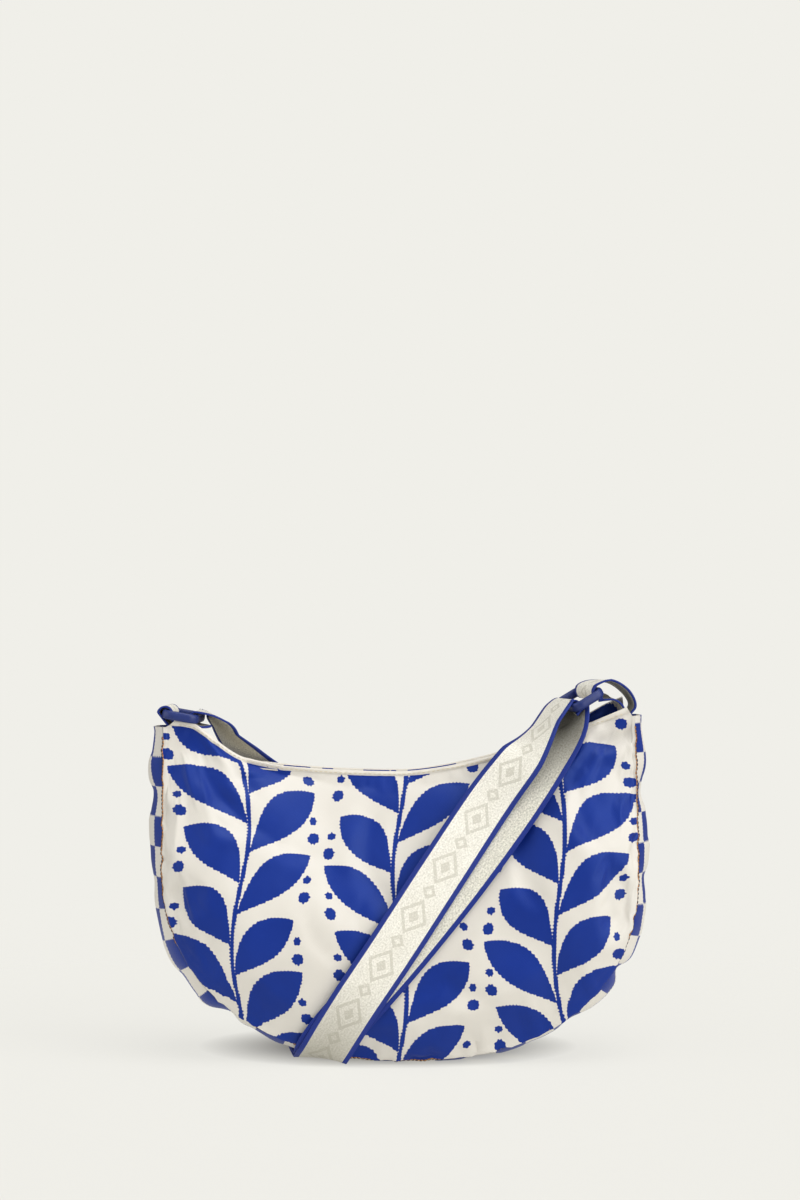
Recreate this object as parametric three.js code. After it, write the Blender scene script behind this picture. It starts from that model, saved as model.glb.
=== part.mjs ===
// A soft crescent shoulder bag, zipped shut and standing filled on its flat base.
// Millimetres, +Z up, the front towards -Y, the origin on the floor under the middle of the bag.
import * as THREE from "three";

// Driving dimensions
const clothThickness = 1.6;
const seamGap = 0.3;
const webbingWidth = 38;
const webbingThickness = 1.5;
const layerPitch = 2.2;

// The seam outline: a superellipse below the waist, near straight sides above it
const seamHalfWidth = 179;
const seamWaistHeight = 150;
const seamDrop = 144.5;
const seamRoundness = { left: 2.15, right: 2.35 };
const hornSeam = { left: { x: -179.5, z: 254.5 }, right: { x: 178, z: 263 } };

// The mouth: it dips in the middle and climbs to a horn at each end, part of the way in a late step
const mouthDipHeight = 219.5;
const mouthHorn = {
  left: { x: -173.5, rise: 38.5, power: 2, lateStep: 0.6 },
  right: { x: 174, rise: 50, power: 1.6, lateStep: 0 },
};
const mouthStepSpan = { from: 0.68, to: 0.98 };

// Half depths, from the middle plane of the bag
const mouthHalfGap = { middle: 13, horn: 21.6 };
const gussetHalfDepth = { base: 43, horn: 22.4 };
const hornTaper = 0.24;
const panelSwell = 25;
const panelSwellRoundness = 0.7;
const panelLeanPower = 0.8;
const gussetFullness = 2.6;

// How far the gusset swells out between its seams, by the share of the way from horn to horn
const gussetSwell = [
  { at: 0, swell: 11 },
  { at: 0.06, swell: 16 },
  { at: 0.2, swell: 15 },
  { at: 0.27, swell: 18 },
  { at: 0.34, swell: 13 },
  { at: 0.42, swell: 10 },
  { at: 0.58, swell: 10 },
  { at: 0.66, swell: 12 },
  { at: 0.73, swell: 15 },
  { at: 0.8, swell: 14 },
  { at: 0.94, swell: 13 },
  { at: 1, swell: 9 },
];

// Dents pressed into the two panels: place, spread and depth
const frontDents = [
  { x: -12, z: 172, spread: 26, depth: 4.5 },
  { x: -128, z: 178, spread: 24, depth: 4 },
  { x: -60, z: 196, spread: 20, depth: 3 },
  { x: 128, z: 196, spread: 24, depth: 5 },
  { x: 96, z: 92, spread: 26, depth: 3.5 },
  { x: -92, z: 62, spread: 22, depth: 3 },
];
const backDents = [
  { x: 84, z: 176, spread: 28, depth: 4.5 },
  { x: -126, z: 168, spread: 24, depth: 4 },
  { x: 40, z: 84, spread: 26, depth: 3.5 },
];

// Gathers along the seam, where the gusset is pulled in: place along the seam from the left horn
// to the right one, half length as a share of the seam, and depth
const gathers = [
  { at: 0.07, reach: 0.016, depth: 3 },
  { at: 0.16, reach: 0.014, depth: 2.5 },
  { at: 0.255, reach: 0.012, depth: 1 },
  { at: 0.308, reach: 0.012, depth: 6 },
  { at: 0.345, reach: 0.012, depth: 2.5 },
  { at: 0.67, reach: 0.018, depth: 4 },
  { at: 0.738, reach: 0.009, depth: 7 },
  { at: 0.83, reach: 0.014, depth: 2.5 },
  { at: 0.92, reach: 0.018, depth: 5 },
];

// The band where the strap runs under the base, and how high it lifts the cloth there
const strapUnderFront = { x: -59, y: -50 };
const strapUnderBack = { x: -72, y: 50 };
const strapLift = 6.8;
const strapLiftHalfWidth = 24;
const strapLiftFade = 10;

// The zip
const zipDrop = 3;
const zipChainWidth = 5;
const zipChainHeight = 2.4;
const zipTapeThickness = 0.9;
const zipSpan = { start: 0.045, end: 0.955 };
const zipSliderAt = 0.9;
const zipSliderWidth = 7;

// The rings: a rounded rectangle of thick bar, long bars across the webbing
const ringBarSpacing = 24.3;
const ringLongHalf = 23;
const ringBar = { inPlane: 4.4, across: 7 };
const ringCornerRadius = 6;
const loopRadius = 5.4;
const ringRight = { tabBar: [148, -1, 281.5], along: [-0.31, 0.95, 0], towardStrap: [-0.823, -0.288, -0.49] };
const ringLeft = { tabBar: [-179.5, 0, 264.6], along: [0.06, 0.998, 0], towardStrap: [0.985, 0, -0.17] };

// The strap slide
const slideLength = 26;
const slideWidth = 47;
const slideThickness = 2;
const slideBar = 3.4;
const slideStandOff = 6;
const slideWeave = 2.9;

// Grid sizes
const seamSteps = 44;
const panelRows = 13;
const gussetRows = 10;

// Colours and finishes
const finishes = {
  printedCloth: { color: 0xd8d0bc, roughness: 0.75, metalness: 0 },
  checkedCloth: { color: 0x3a4f8c, roughness: 0.75, metalness: 0 },
  zipTape: { color: 0xd9d2c2, roughness: 0.85, metalness: 0 },
  zipMetal: { color: 0xb59a64, roughness: 0.35, metalness: 0.9 },
  ringEnamel: { color: 0x2f4a86, roughness: 0.4, metalness: 0.2 },
  webbing: { color: 0xdcd8c8, roughness: 0.6, metalness: 0.1 },
};

const mix = THREE.MathUtils.lerp;
const smooth = (x, low, high) => THREE.MathUtils.smoothstep(x, low, high);
const point = (xyz) => new THREE.Vector3(...xyz);
const bell = (distance, reach) => Math.exp(-((distance / reach) ** 2));

function named(name, geometry, finish) {
  const mesh = new THREE.Mesh(geometry, new THREE.MeshStandardMaterial(finishes[finish]));
  mesh.name = name;
  return mesh;
}

// A geometry from points and triangles, with its faces turned outwards
function closedGeometry(points, triangles) {
  let volume = 0;
  for (const [a, b, c] of triangles) {
    volume += points[a].dot(new THREE.Vector3().crossVectors(points[b], points[c]));
  }
  const outward = volume < 0 ? triangles.map(([a, b, c]) => [a, c, b]) : triangles;
  const geometry = new THREE.BufferGeometry();
  const coordinates = points.flatMap((p) => [p.x, p.y, p.z]);
  geometry.setAttribute("position", new THREE.Float32BufferAttribute(coordinates, 3));
  geometry.setIndex(outward.flat());
  geometry.computeVertexNormals();
  return geometry;
}

// A solid lofted through rings of points, ending in flat caps or closing on itself
function loftGeometry(sections, closesOnItself = false) {
  const count = sections[0].length;
  const triangles = [];
  const spans = closesOnItself ? sections.length : sections.length - 1;
  for (let i = 0; i < spans; i++) {
    const here = i * count;
    const next = ((i + 1) % sections.length) * count;
    for (let k = 0; k < count; k++) {
      const k1 = (k + 1) % count;
      triangles.push([here + k, here + k1, next + k1], [here + k, next + k1, next + k]);
    }
  }
  if (!closesOnItself) {
    const last = (sections.length - 1) * count;
    for (let k = 1; k < count - 1; k++) {
      triangles.push([0, k + 1, k], [last, last + k, last + k + 1]);
    }
  }
  return closedGeometry(sections.flat(), triangles);
}

// A wall of cloth: an outer and an inner grid of points, joined all round their rim
function wallGeometry(outer, inner) {
  const columns = outer.length;
  const rows = outer[0].length;
  const points = [...outer.flat(), ...inner.flat()];
  const out = (c, r) => c * rows + r;
  const into = (c, r) => columns * rows + c * rows + r;
  const triangles = [];
  const quad = (a, b, c, d) => triangles.push([a, b, c], [a, c, d]);
  for (let c = 0; c < columns - 1; c++) {
    for (let r = 0; r < rows - 1; r++) {
      quad(out(c, r), out(c, r + 1), out(c + 1, r + 1), out(c + 1, r));
      quad(into(c, r), into(c + 1, r), into(c + 1, r + 1), into(c, r + 1));
    }
    quad(out(c, 0), out(c + 1, 0), into(c + 1, 0), into(c, 0));
    quad(out(c, rows - 1), into(c, rows - 1), into(c + 1, rows - 1), out(c + 1, rows - 1));
  }
  for (let r = 0; r < rows - 1; r++) {
    const last = columns - 1;
    quad(out(0, r), into(0, r), into(0, r + 1), out(0, r + 1));
    quad(out(last, r), out(last, r + 1), into(last, r + 1), into(last, r));
  }
  return closedGeometry(points, triangles);
}

// The grid moved inwards by the thickness of the cloth
function insideOf(outer, inwards) {
  const clampIndex = (i, count) => Math.min(Math.max(i, 0), count - 1);
  return outer.map((column, c) =>
    column.map((here, r) => {
      const before = outer[clampIndex(c - 1, outer.length)][r];
      const after = outer[clampIndex(c + 1, outer.length)][r];
      const above = column[clampIndex(r - 1, column.length)];
      const below = column[clampIndex(r + 1, column.length)];
      const across = new THREE.Vector3().subVectors(after, before);
      const down = new THREE.Vector3().subVectors(below, above);
      const normal = new THREE.Vector3().crossVectors(across, down).normalize();
      if (normal.dot(inwards(here)) < 0) normal.negate();
      return here.clone().addScaledVector(normal, clothThickness);
    }),
  );
}

// The seam outline in the XZ plane, from the left horn to the right horn, evenly spaced
function seamOutline() {
  const path = [];
  const sideSteps = 24;
  const roundSteps = 160;
  const side = (horn, edge, share) => {
    const z = mix(horn.z, seamWaistHeight, share);
    return new THREE.Vector2(mix(horn.x, edge, 1 - (1 - share) ** 2), z);
  };
  for (let i = 0; i < sideSteps; i++) path.push(side(hornSeam.left, -seamHalfWidth, i / sideSteps));
  for (let i = 0; i <= roundSteps; i++) {
    const angle = Math.PI * (1 - i / roundSteps);
    const exponent = 2 / (angle > Math.PI / 2 ? seamRoundness.left : seamRoundness.right);
    const x = Math.sign(Math.cos(angle)) * Math.abs(Math.cos(angle)) ** exponent;
    path.push(new THREE.Vector2(x * seamHalfWidth, seamWaistHeight - seamDrop * Math.sin(angle) ** exponent));
  }
  for (let i = sideSteps - 1; i >= 0; i--) path.push(side(hornSeam.right, seamHalfWidth, i / sideSteps));
  return path;
}

const seamPath = seamOutline();
const seamLengths = seamPath.map(() => 0);
for (let i = 1; i < seamPath.length; i++) {
  seamLengths[i] = seamLengths[i - 1] + seamPath[i].distanceTo(seamPath[i - 1]);
}

// A point of the seam, by its share of the way from the left horn to the right one
function seamPoint(share) {
  const target = share * seamLengths.at(-1);
  let i = 1;
  while (i < seamPath.length - 1 && seamLengths[i] < target) i++;
  const t = (target - seamLengths[i - 1]) / (seamLengths[i] - seamLengths[i - 1]);
  return seamPath[i - 1].clone().lerp(seamPath[i], t);
}

function seamOutward(share) {
  const step = 0.012;
  const before = seamPoint(Math.max(share - step, 0));
  const after = seamPoint(Math.min(share + step, 1));
  const run = after.sub(before).normalize();
  return new THREE.Vector2(run.y, -run.x);
}

// The mouth's edge in the XZ plane
function mouthPoint(share) {
  const x = mix(mouthHorn.left.x, mouthHorn.right.x, share);
  const horn = x < 0 ? mouthHorn.left : mouthHorn.right;
  const out = Math.abs(x / horn.x);
  const climb = mix(out ** horn.power, smooth(out, mouthStepSpan.from, mouthStepSpan.to), horn.lateStep);
  return new THREE.Vector2(x, mouthDipHeight + horn.rise * climb);
}

const fromHorn = (share) => smooth(Math.min(share, 1 - share), 0, hornTaper);
const mouthHalf = (share) => mix(mouthHalfGap.horn, mouthHalfGap.middle, fromHorn(share));
const gussetHalf = (share) => mix(gussetHalfDepth.horn, gussetHalfDepth.base, fromHorn(share));

// A panel's outline place: share runs from horn to horn, down from the mouth to the seam
const panelPlace = (share, down) => mouthPoint(share).lerp(seamPoint(share), down);

// How far a panel's outer face stands from the middle plane of the bag
function panelDepth(share, down, dents) {
  const place = panelPlace(share, down);
  const lean = mix(mouthHalf(share), gussetHalf(share), down ** panelLeanPower);
  const swell = panelSwell * fromHorn(share) * (4 * down * (1 - down)) ** panelSwellRoundness;
  let depth = lean + swell;
  for (const dent of dents) {
    depth -= dent.depth * bell(Math.hypot(place.x - dent.x, place.y - dent.z), dent.spread);
  }
  return depth;
}

function panelPoint(share, down, side, dents) {
  const place = panelPlace(share, down);
  return new THREE.Vector3(place.x, side * panelDepth(share, down, dents), place.y);
}

// The share and down of a panel's place, found by Newton steps
function panelShareAt(x, z) {
  const nudge = 1e-3;
  let share = (x - mouthHorn.left.x) / (mouthHorn.right.x - mouthHorn.left.x);
  let down = 0.5;
  for (let i = 0; i < 20; i++) {
    const here = panelPlace(share, down);
    const byShare = panelPlace(share + nudge, down).sub(here).divideScalar(nudge);
    const byDown = panelPlace(share, down + nudge).sub(here).divideScalar(nudge);
    const miss = new THREE.Vector2(x, z).sub(here);
    const area = byShare.cross(byDown);
    share = THREE.MathUtils.clamp(share + miss.cross(byDown) / area, nudge, 1 - 2 * nudge);
    down = THREE.MathUtils.clamp(down + byShare.cross(miss) / area, 0, 1 - nudge);
  }
  return { share, down };
}

// A place that stands off a panel's face at (x, z), with the way the face looks there
function overPanel(x, z, standOff, side, dents) {
  const reach = 8;
  const depthAt = (px, pz) => {
    const { share, down } = panelShareAt(px, pz);
    return panelDepth(share, down, dents);
  };
  const slopeX = (depthAt(x + reach, z) - depthAt(x - reach, z)) / (2 * reach);
  const slopeZ = (depthAt(x, z + reach) - depthAt(x, z - reach)) / (2 * reach);
  const face = new THREE.Vector3(-slopeX, side, -slopeZ).normalize();
  const place = new THREE.Vector3(x, side * depthAt(x, z), z).addScaledVector(face, standOff);
  return { place, face };
}

function panel(name, side, dents) {
  const outer = [];
  for (let i = 0; i <= seamSteps; i++) {
    const column = [];
    for (let r = 0; r <= panelRows; r++) {
      const down = 0.5 - 0.5 * Math.cos((Math.PI * r) / panelRows);
      column.push(panelPoint(i / seamSteps, down, side, dents));
    }
    outer.push(column);
  }
  const inner = insideOf(outer, () => new THREE.Vector3(0, -side, 0));
  return named(name, wallGeometry(outer, inner), "printedCloth");
}

// The floor under the bag, raised where the strap passes beneath it
function floorHeight(x, y) {
  const along = (y - strapUnderFront.y) / (strapUnderBack.y - strapUnderFront.y);
  const centre = mix(strapUnderFront.x, strapUnderBack.x, along);
  const away = Math.abs(x - centre) - strapLiftHalfWidth;
  return strapLift * (1 - smooth(away, 0, strapLiftFade));
}

function swellAt(share) {
  const next = Math.max(gussetSwell.findIndex((row) => row.at >= share), 1);
  const [a, b] = [gussetSwell[next - 1], gussetSwell[next]];
  return mix(a.swell, b.swell, smooth(share, a.at, b.at));
}

// The gusset's outer face: share runs along the seam, across from the front to the back
function gussetPoint(share, across) {
  const seam = seamPoint(share);
  const outward = seamOutward(share);
  const half = gussetHalf(share) - clothThickness - seamGap;
  let swell = swellAt(share);
  for (const gather of gathers) swell -= gather.depth * bell(share - gather.at, gather.reach);
  const stand = swell * (1 - Math.abs(across) ** gussetFullness);
  const x = seam.x + outward.x * stand;
  const y = across * half;
  const z = seam.y + outward.y * stand;
  return new THREE.Vector3(x, y, Math.max(z, floorHeight(x, y)));
}

function gusset() {
  const steps = seamSteps + 20;
  const outer = [];
  for (let i = 0; i <= steps; i++) {
    const column = [];
    for (let r = 0; r <= gussetRows; r++) column.push(gussetPoint(i / steps, (2 * r) / gussetRows - 1));
    outer.push(column);
  }
  const middle = new THREE.Vector3(0, 0, seamWaistHeight);
  const inner = insideOf(outer, (p) => new THREE.Vector3(middle.x - p.x, 0, middle.z - p.z));
  return named("gusset", wallGeometry(outer, inner), "checkedCloth");
}

// The zip's middle line, a little under the mouth's edge, with its upward direction
function zipPlace(share) {
  const here = mouthPoint(share);
  const run = mouthPoint(share + 0.004).sub(mouthPoint(share - 0.004)).normalize();
  const up = new THREE.Vector3(-run.y, 0, run.x);
  const place = new THREE.Vector3(here.x, 0, here.y).addScaledVector(up, -zipDrop);
  return { place, up, run: new THREE.Vector3(run.x, 0, run.y) };
}

// How far a panel's inner face stands from the middle plane where the zip tape meets it
function zipSeat(share, dents) {
  const firstRow = 0.5 - 0.5 * Math.cos(Math.PI / panelRows);
  const edge = panelDepth(share, 0, dents);
  const drop = mouthPoint(share).distanceTo(panelPlace(share, firstRow));
  const slope = (panelDepth(share, firstRow, dents) - edge) / drop;
  return edge + slope * (zipDrop - zipTapeThickness / 2) - clothThickness * Math.hypot(1, slope);
}

function zipStrip(name, finish, nearY, farY, thickness) {
  const steps = 30;
  const sections = [];
  for (let i = 0; i <= steps; i++) {
    const share = mix(zipSpan.start, zipSpan.end, i / steps);
    const { place, up } = zipPlace(share);
    const corner = (y, height) => place.clone().addScaledVector(up, height).setY(y);
    const near = nearY(share);
    const far = farY(share);
    const half = thickness / 2;
    sections.push([corner(near, -half), corner(far, -half), corner(far, half), corner(near, half)]);
  }
  return named(name, loftGeometry(sections), finish);
}

function zip() {
  const frontEdge = (share) => 2 * seamGap - zipSeat(share, frontDents);
  const backEdge = (share) => zipSeat(share, backDents) - 2 * seamGap;
  const chainEdge = () => zipChainWidth / 2;
  const tapeInner = () => zipChainWidth / 2 + seamGap;
  const flip = (edge) => (share) => -edge(share);
  return [
    zipStrip("zip_tape_front", "zipTape", frontEdge, flip(tapeInner), zipTapeThickness),
    zipStrip("zip_tape_back", "zipTape", tapeInner, backEdge, zipTapeThickness),
    zipStrip("zip_chain", "zipMetal", flip(chainEdge), chainEdge, zipChainHeight),
    zipSlider(),
  ];
}

// The slider with its pull lying along the zip, as one side profile
function zipSlider() {
  const profile = new THREE.Shape();
  profile.moveTo(-5, 0);
  profile.lineTo(6, 0);
  profile.lineTo(6, 2.2);
  profile.lineTo(3, 4.6);
  profile.lineTo(-3, 4.6);
  profile.lineTo(-5, 3.4);
  profile.lineTo(-26, 3.4);
  profile.lineTo(-27.5, 2.6);
  profile.lineTo(-26, 1.6);
  profile.lineTo(-5, 1.6);
  profile.closePath();
  const geometry = new THREE.ExtrudeGeometry(profile, { depth: zipSliderWidth, bevelEnabled: false });
  geometry.translate(0, 0, -zipSliderWidth / 2);
  const { place, up, run } = zipPlace(zipSliderAt);
  const across = new THREE.Vector3().crossVectors(run, up);
  const seat = place.clone().addScaledVector(up, zipChainHeight / 2 + 2 * seamGap);
  geometry.applyMatrix4(new THREE.Matrix4().makeBasis(run, up, across).setPosition(seat));
  return named("zip_slider", geometry, "zipMetal");
}

// A ring's own axes and the middle of each of its two long bars
function ringFrame(ring) {
  const along = point(ring.along).normalize();
  const across = point(ring.towardStrap);
  across.addScaledVector(along, -across.dot(along)).normalize();
  const normal = new THREE.Vector3().crossVectors(along, across);
  const tabBar = point(ring.tabBar);
  const strapBar = tabBar.clone().addScaledVector(across, ringBarSpacing);
  return { along, across, normal, tabBar, strapBar };
}

function ringMesh(name, ring) {
  const { along, across, normal, tabBar, strapBar } = ringFrame(ring);
  const centre = tabBar.clone().lerp(strapBar, 0.5);
  const straight = { along: ringLongHalf - ringCornerRadius, across: ringBarSpacing / 2 - ringCornerRadius };
  const cornerSteps = 4;
  const sides = 8;
  const sections = [];
  for (let corner = 0; corner < 4; corner++) {
    const sign = { along: corner === 0 || corner === 3 ? 1 : -1, across: corner < 2 ? 1 : -1 };
    for (let i = 0; i <= cornerSteps; i++) {
      const angle = (Math.PI / 2) * (corner + i / cornerSteps);
      const outward = along.clone().multiplyScalar(Math.cos(angle)).addScaledVector(across, Math.sin(angle));
      const spine = centre.clone();
      spine.addScaledVector(along, sign.along * straight.along);
      spine.addScaledVector(across, sign.across * straight.across);
      spine.addScaledVector(outward, ringCornerRadius);
      const section = [];
      for (let k = 0; k < sides; k++) {
        const turn = (2 * Math.PI * (k + 0.5)) / sides;
        const place = spine.clone().addScaledVector(outward, (Math.cos(turn) * ringBar.inPlane) / 2);
        section.push(place.addScaledVector(normal, (Math.sin(turn) * ringBar.across) / 2));
      }
      sections.push(section);
    }
  }
  return named(name, loftGeometry(sections, true), "ringEnamel");
}

// A run of webbing: stations of a middle point and the way its face looks, with steps between them
function webbingSections(stations, stepsBetween) {
  const places = new THREE.CatmullRomCurve3(stations.map((s) => s.place), false, "centripetal");
  const spans = stations.length - 1;
  const sections = [];
  for (let i = 0; i <= spans * stepsBetween; i++) {
    const t = i / (spans * stepsBetween);
    const span = Math.min(Math.floor(t * spans), spans - 1);
    const share = t * spans - span;
    const face = stations[span].face.clone().lerp(stations[span + 1].face, share).normalize();
    const run = places.getTangent(t);
    const wide = new THREE.Vector3().crossVectors(run, face).normalize();
    const thick = new THREE.Vector3().crossVectors(wide, run).normalize();
    const place = places.getPoint(t);
    const corner = (w, h) =>
      place.clone().addScaledVector(wide, (w * webbingWidth) / 2).addScaledVector(thick, (h * webbingThickness) / 2);
    sections.push([corner(-1, -1), corner(1, -1), corner(1, 1), corner(-1, 1)]);
  }
  return sections;
}

// Stations round a bar, from one leg to the other, with the face looking away from the bar
function roundBar(bar, firstLeg, top, radius, steps) {
  const stations = [];
  for (let i = 0; i <= steps; i++) {
    const angle = (Math.PI * i) / steps;
    const face = firstLeg.clone().multiplyScalar(Math.cos(angle)).addScaledVector(top, Math.sin(angle));
    stations.push({ place: bar.clone().addScaledVector(face, radius), face });
  }
  return stations;
}

const station = (x, y, z, face) => ({ place: new THREE.Vector3(x, y, z), face: point(face).normalize() });

// The tabs: loops of webbing sewn in between the horn's panels
function tabs() {
  const right = ringFrame(ringRight);
  const rightTop = right.across.clone();
  const rightSide = new THREE.Vector3().crossVectors(right.along, rightTop).normalize();
  if (rightSide.z < 0) rightSide.negate();
  const rightLoop = [
    station(176.2, 0, 256.5, [1, 0, 0]),
    station(176.4, 0, 263.2, [1, 0, 0.1]),
    station(180, 0, 271, [1, 0.1, 0.35]),
    station(174, -0.5, 282, [0.62, 0.25, 0.76]),
    station(161, -1, 289.5, [0.1, 0.16, 1]),
    ...roundBar(right.tabBar, rightSide, rightTop, loopRadius, 6),
    station(164, -0.5, 275.5, [0.2, 0, -1]),
    station(172, 0, 268.5, [-0.7, 0, -0.7]),
    station(173.2, 0, 258.5, [-1, 0, 0]),
  ];
  const left = ringFrame(ringLeft);
  const leftTop = left.across.clone().negate();
  const leftUp = new THREE.Vector3().crossVectors(left.along, leftTop).normalize();
  if (leftUp.z < 0) leftUp.negate();
  const leftLoop = [
    station(-177.8, 0, 247.5, [-1, 0, 0]),
    station(-177.8, 0, 255, [-1, 0, -0.05]),
    station(-181.3, 0, 259.6, [-0.86, 0, -0.5]),
    ...roundBar(left.tabBar, leftTop, leftUp, loopRadius, 6),
    station(-174.2, 0, 257.5, [1, 0, 0.05]),
    station(-174.8, 0, 248.5, [1, 0, 0]),
  ];
  return [
    named("tab_left", loftGeometry(webbingSections(leftLoop, 2)), "webbing"),
    named("tab_right", loftGeometry(webbingSections(rightLoop, 2)), "webbing"),
  ];
}

// The strap's outer layer, from the right ring to the left ring. Each row gives a place, the way the
// face looks or how far the band stands off the cloth, and where the return layer lies under it
const strapFromRing = [
  { x: 111.5, y: -21, z: 257, face: [-0.8, -0.45, 0.4] },
  { x: 93, y: -38, z: 233, face: [-0.5, -0.84, 0.2] },
];
const strapBackToRing = [
  { x: 108, y: -36, z: 224, face: [0.45, 0.88, -0.1] },
  { x: 131, y: -18, z: 256, face: [0.7, 0.62, -0.3] },
];
const strapOnFront = [
  { x: 70.5, z: 200, standOff: 5.8, under: 3, slip: 19 },
  { x: 31.5, z: 145, standOff: 4, under: layerPitch, slip: 15 },
  { x: -6.5, z: 88.5, standOff: 4, under: layerPitch, slip: 8 },
  { x: -34, z: 48, standOff: 4, under: layerPitch, slip: 2 },
  { x: -48, z: 26, standOff: 4.8, under: layerPitch, slip: -2 },
];
const strapUnderBase = [
  { x: -54, y: -53.5, z: 15, face: [-0.1, -0.88, -0.45], under: layerPitch, slip: -3 },
  { x: -57.5, y: -50, z: 9, face: [-0.2, -0.7, -0.7], under: layerPitch, slip: -3 },
  { x: -60, y: -42, z: 5.6, face: [-0.2, -0.25, -0.95], under: layerPitch, slip: -2 },
  { x: -62.5, y: -24, z: 2.4, face: [-0.04, -0.05, -1], under: layerPitch, slip: 0 },
  { x: -65.5, y: 0, z: 1.8, face: [-0.03, 0, -1], under: layerPitch, slip: 0 },
  { x: -68.5, y: 24, z: 2.4, face: [-0.04, 0.05, -1], under: layerPitch, slip: 0 },
  { x: -71, y: 39, z: 5.5, face: [-0.2, 0.3, -0.95], under: layerPitch, slip: 0 },
  { x: -73, y: 47.5, z: 10.5, face: [-0.2, 0.7, -0.7], under: layerPitch, slip: 0 },
];
const strapOnBack = [
  { x: -74, z: 22, standOff: 5.4 },
  { x: -75, z: 48, standOff: 4.4 },
  { x: -74, z: 80, standOff: 3.8 },
  { x: -72.3, z: 98.5, standOff: 3.8 },
  { x: -71.8, z: 102.5, standOff: 3.8 },
];
const strapSlidePlace = { x: -71, z: 112 };
const strapPastSlide = [
  { x: -69.8, z: 121.5, standOff: 3.8 },
  { x: -69.2, z: 126, standOff: 3.8 },
  { x: -71, z: 145, standOff: 3 },
  { x: -80, z: 172, standOff: 3 },
  { x: -100, z: 203, standOff: 4.5 },
];
const strapToLeftRing = [
  { x: -113, y: 31.5, z: 220, face: [0.24, 0.72, 0.64] },
  { x: -125.5, y: 21, z: 236, face: [0.4, 0.5, 0.76] },
  { x: -136, y: 9.5, z: 250.5, face: [0.56, 0.26, 0.78] },
  { x: -142.5, y: 2, z: 261.3, face: [0.34, 0.02, 0.94] },
];
const strapTail = { x: -146, y: 0.5, z: 255, face: [0, 0, -1] };

// Where a band runs and how it lies at one of its stations
function bandFrame(curve, stations, i) {
  const run = curve.getTangent(i / (stations.length - 1));
  const wide = new THREE.Vector3().crossVectors(run, stations[i].face).normalize();
  const thick = new THREE.Vector3().crossVectors(wide, run).normalize();
  return { run, wide, thick };
}

function strapOuterStations() {
  const free = (s) => ({ ...s, ...station(s.x, s.y, s.z, s.face) });
  const front = (s) => ({ ...s, ...overPanel(s.x, s.z, s.standOff, -1, frontDents) });
  const back = (s) => ({ under: layerPitch, slip: 0, ...overPanel(s.x, s.z, s.standOff, 1, backDents) });
  const doubled = [
    ...strapOnFront.map(front),
    ...strapUnderBase.map(free),
    ...strapOnBack.map(back),
  ];
  const overSlide = overPanel(strapSlidePlace.x, strapSlidePlace.z, slideStandOff + slideWeave, 1, backDents);
  const single = [overSlide, ...strapPastSlide.map(back), ...strapToLeftRing.map(free)];
  return { fromRing: strapFromRing.map(free), doubled, single };
}

// The return layer lies under the outer one, from its sewn end by the slide back to the right ring
function strapReturnStations(doubled) {
  const curve = new THREE.CatmullRomCurve3(doubled.map((s) => s.place), false, "centripetal");
  return doubled.map((s, i) => {
    const { wide, thick } = bandFrame(curve, doubled, i);
    const place = s.place.clone().addScaledVector(thick, -s.under).addScaledVector(wide, -s.slip);
    return { place, face: s.face.clone().negate() };
  });
}

function strap() {
  const { fromRing, doubled, single } = strapOuterStations();
  const right = ringFrame(ringRight);
  const pull = fromRing[0].place.clone().sub(right.strapBar).normalize();
  const frontLeg = new THREE.Vector3().crossVectors(right.along, pull).normalize();
  const turnTop = new THREE.Vector3().crossVectors(right.along, frontLeg).normalize();
  if (turnTop.dot(pull) > 0) turnTop.negate();
  const left = ringFrame(ringLeft);
  const leftTop = left.across.clone().negate();
  const leftLeg = new THREE.Vector3().crossVectors(left.along, leftTop).normalize();
  if (leftLeg.z < 0) leftLeg.negate();
  const stations = [
    ...strapReturnStations(doubled).toReversed(),
    ...strapBackToRing.map((s) => station(s.x, s.y, s.z, s.face)),
    ...roundBar(right.strapBar, frontLeg.clone().negate(), turnTop, loopRadius, 6),
    ...fromRing,
    ...doubled,
    ...single,
    ...roundBar(left.strapBar, leftLeg, leftTop, loopRadius, 6),
    station(strapTail.x, strapTail.y, strapTail.z, strapTail.face),
  ];
  return named("strap", loftGeometry(webbingSections(stations, 2)), "webbing");
}

// The slide: a flat frame with a middle bar that the outer layer passes over
function strapSlide() {
  const frame = new THREE.Shape();
  const rectangle = (path, x0, y0, x1, y1) => {
    path.moveTo(x0, y0);
    path.lineTo(x1, y0);
    path.lineTo(x1, y1);
    path.lineTo(x0, y1);
    path.closePath();
    return path;
  };
  const halfWidth = slideWidth / 2;
  const halfLength = slideLength / 2;
  rectangle(frame, -halfWidth, -halfLength, halfWidth, halfLength);
  const slotHalf = halfWidth - slideBar;
  const slotEnd = halfLength - slideBar;
  frame.holes.push(rectangle(new THREE.Path(), -slotHalf, slideBar / 2, slotHalf, slotEnd));
  frame.holes.push(rectangle(new THREE.Path(), -slotHalf, -slotEnd, slotHalf, -slideBar / 2));
  const geometry = new THREE.ExtrudeGeometry(frame, { depth: slideThickness, bevelEnabled: false });
  geometry.translate(0, 0, -slideThickness / 2);
  const { place, face } = overPanel(strapSlidePlace.x, strapSlidePlace.z, slideStandOff, 1, backDents);
  const before = strapOnBack.at(-1);
  const after = strapPastSlide[0];
  const run = new THREE.Vector3(after.x - before.x, 0, after.z - before.z);
  run.addScaledVector(face, -run.dot(face)).normalize();
  const wide = new THREE.Vector3().crossVectors(run, face);
  geometry.applyMatrix4(new THREE.Matrix4().makeBasis(wide, run, face).setPosition(place));
  return named("strap_slide", geometry, "ringEnamel");
}

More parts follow.
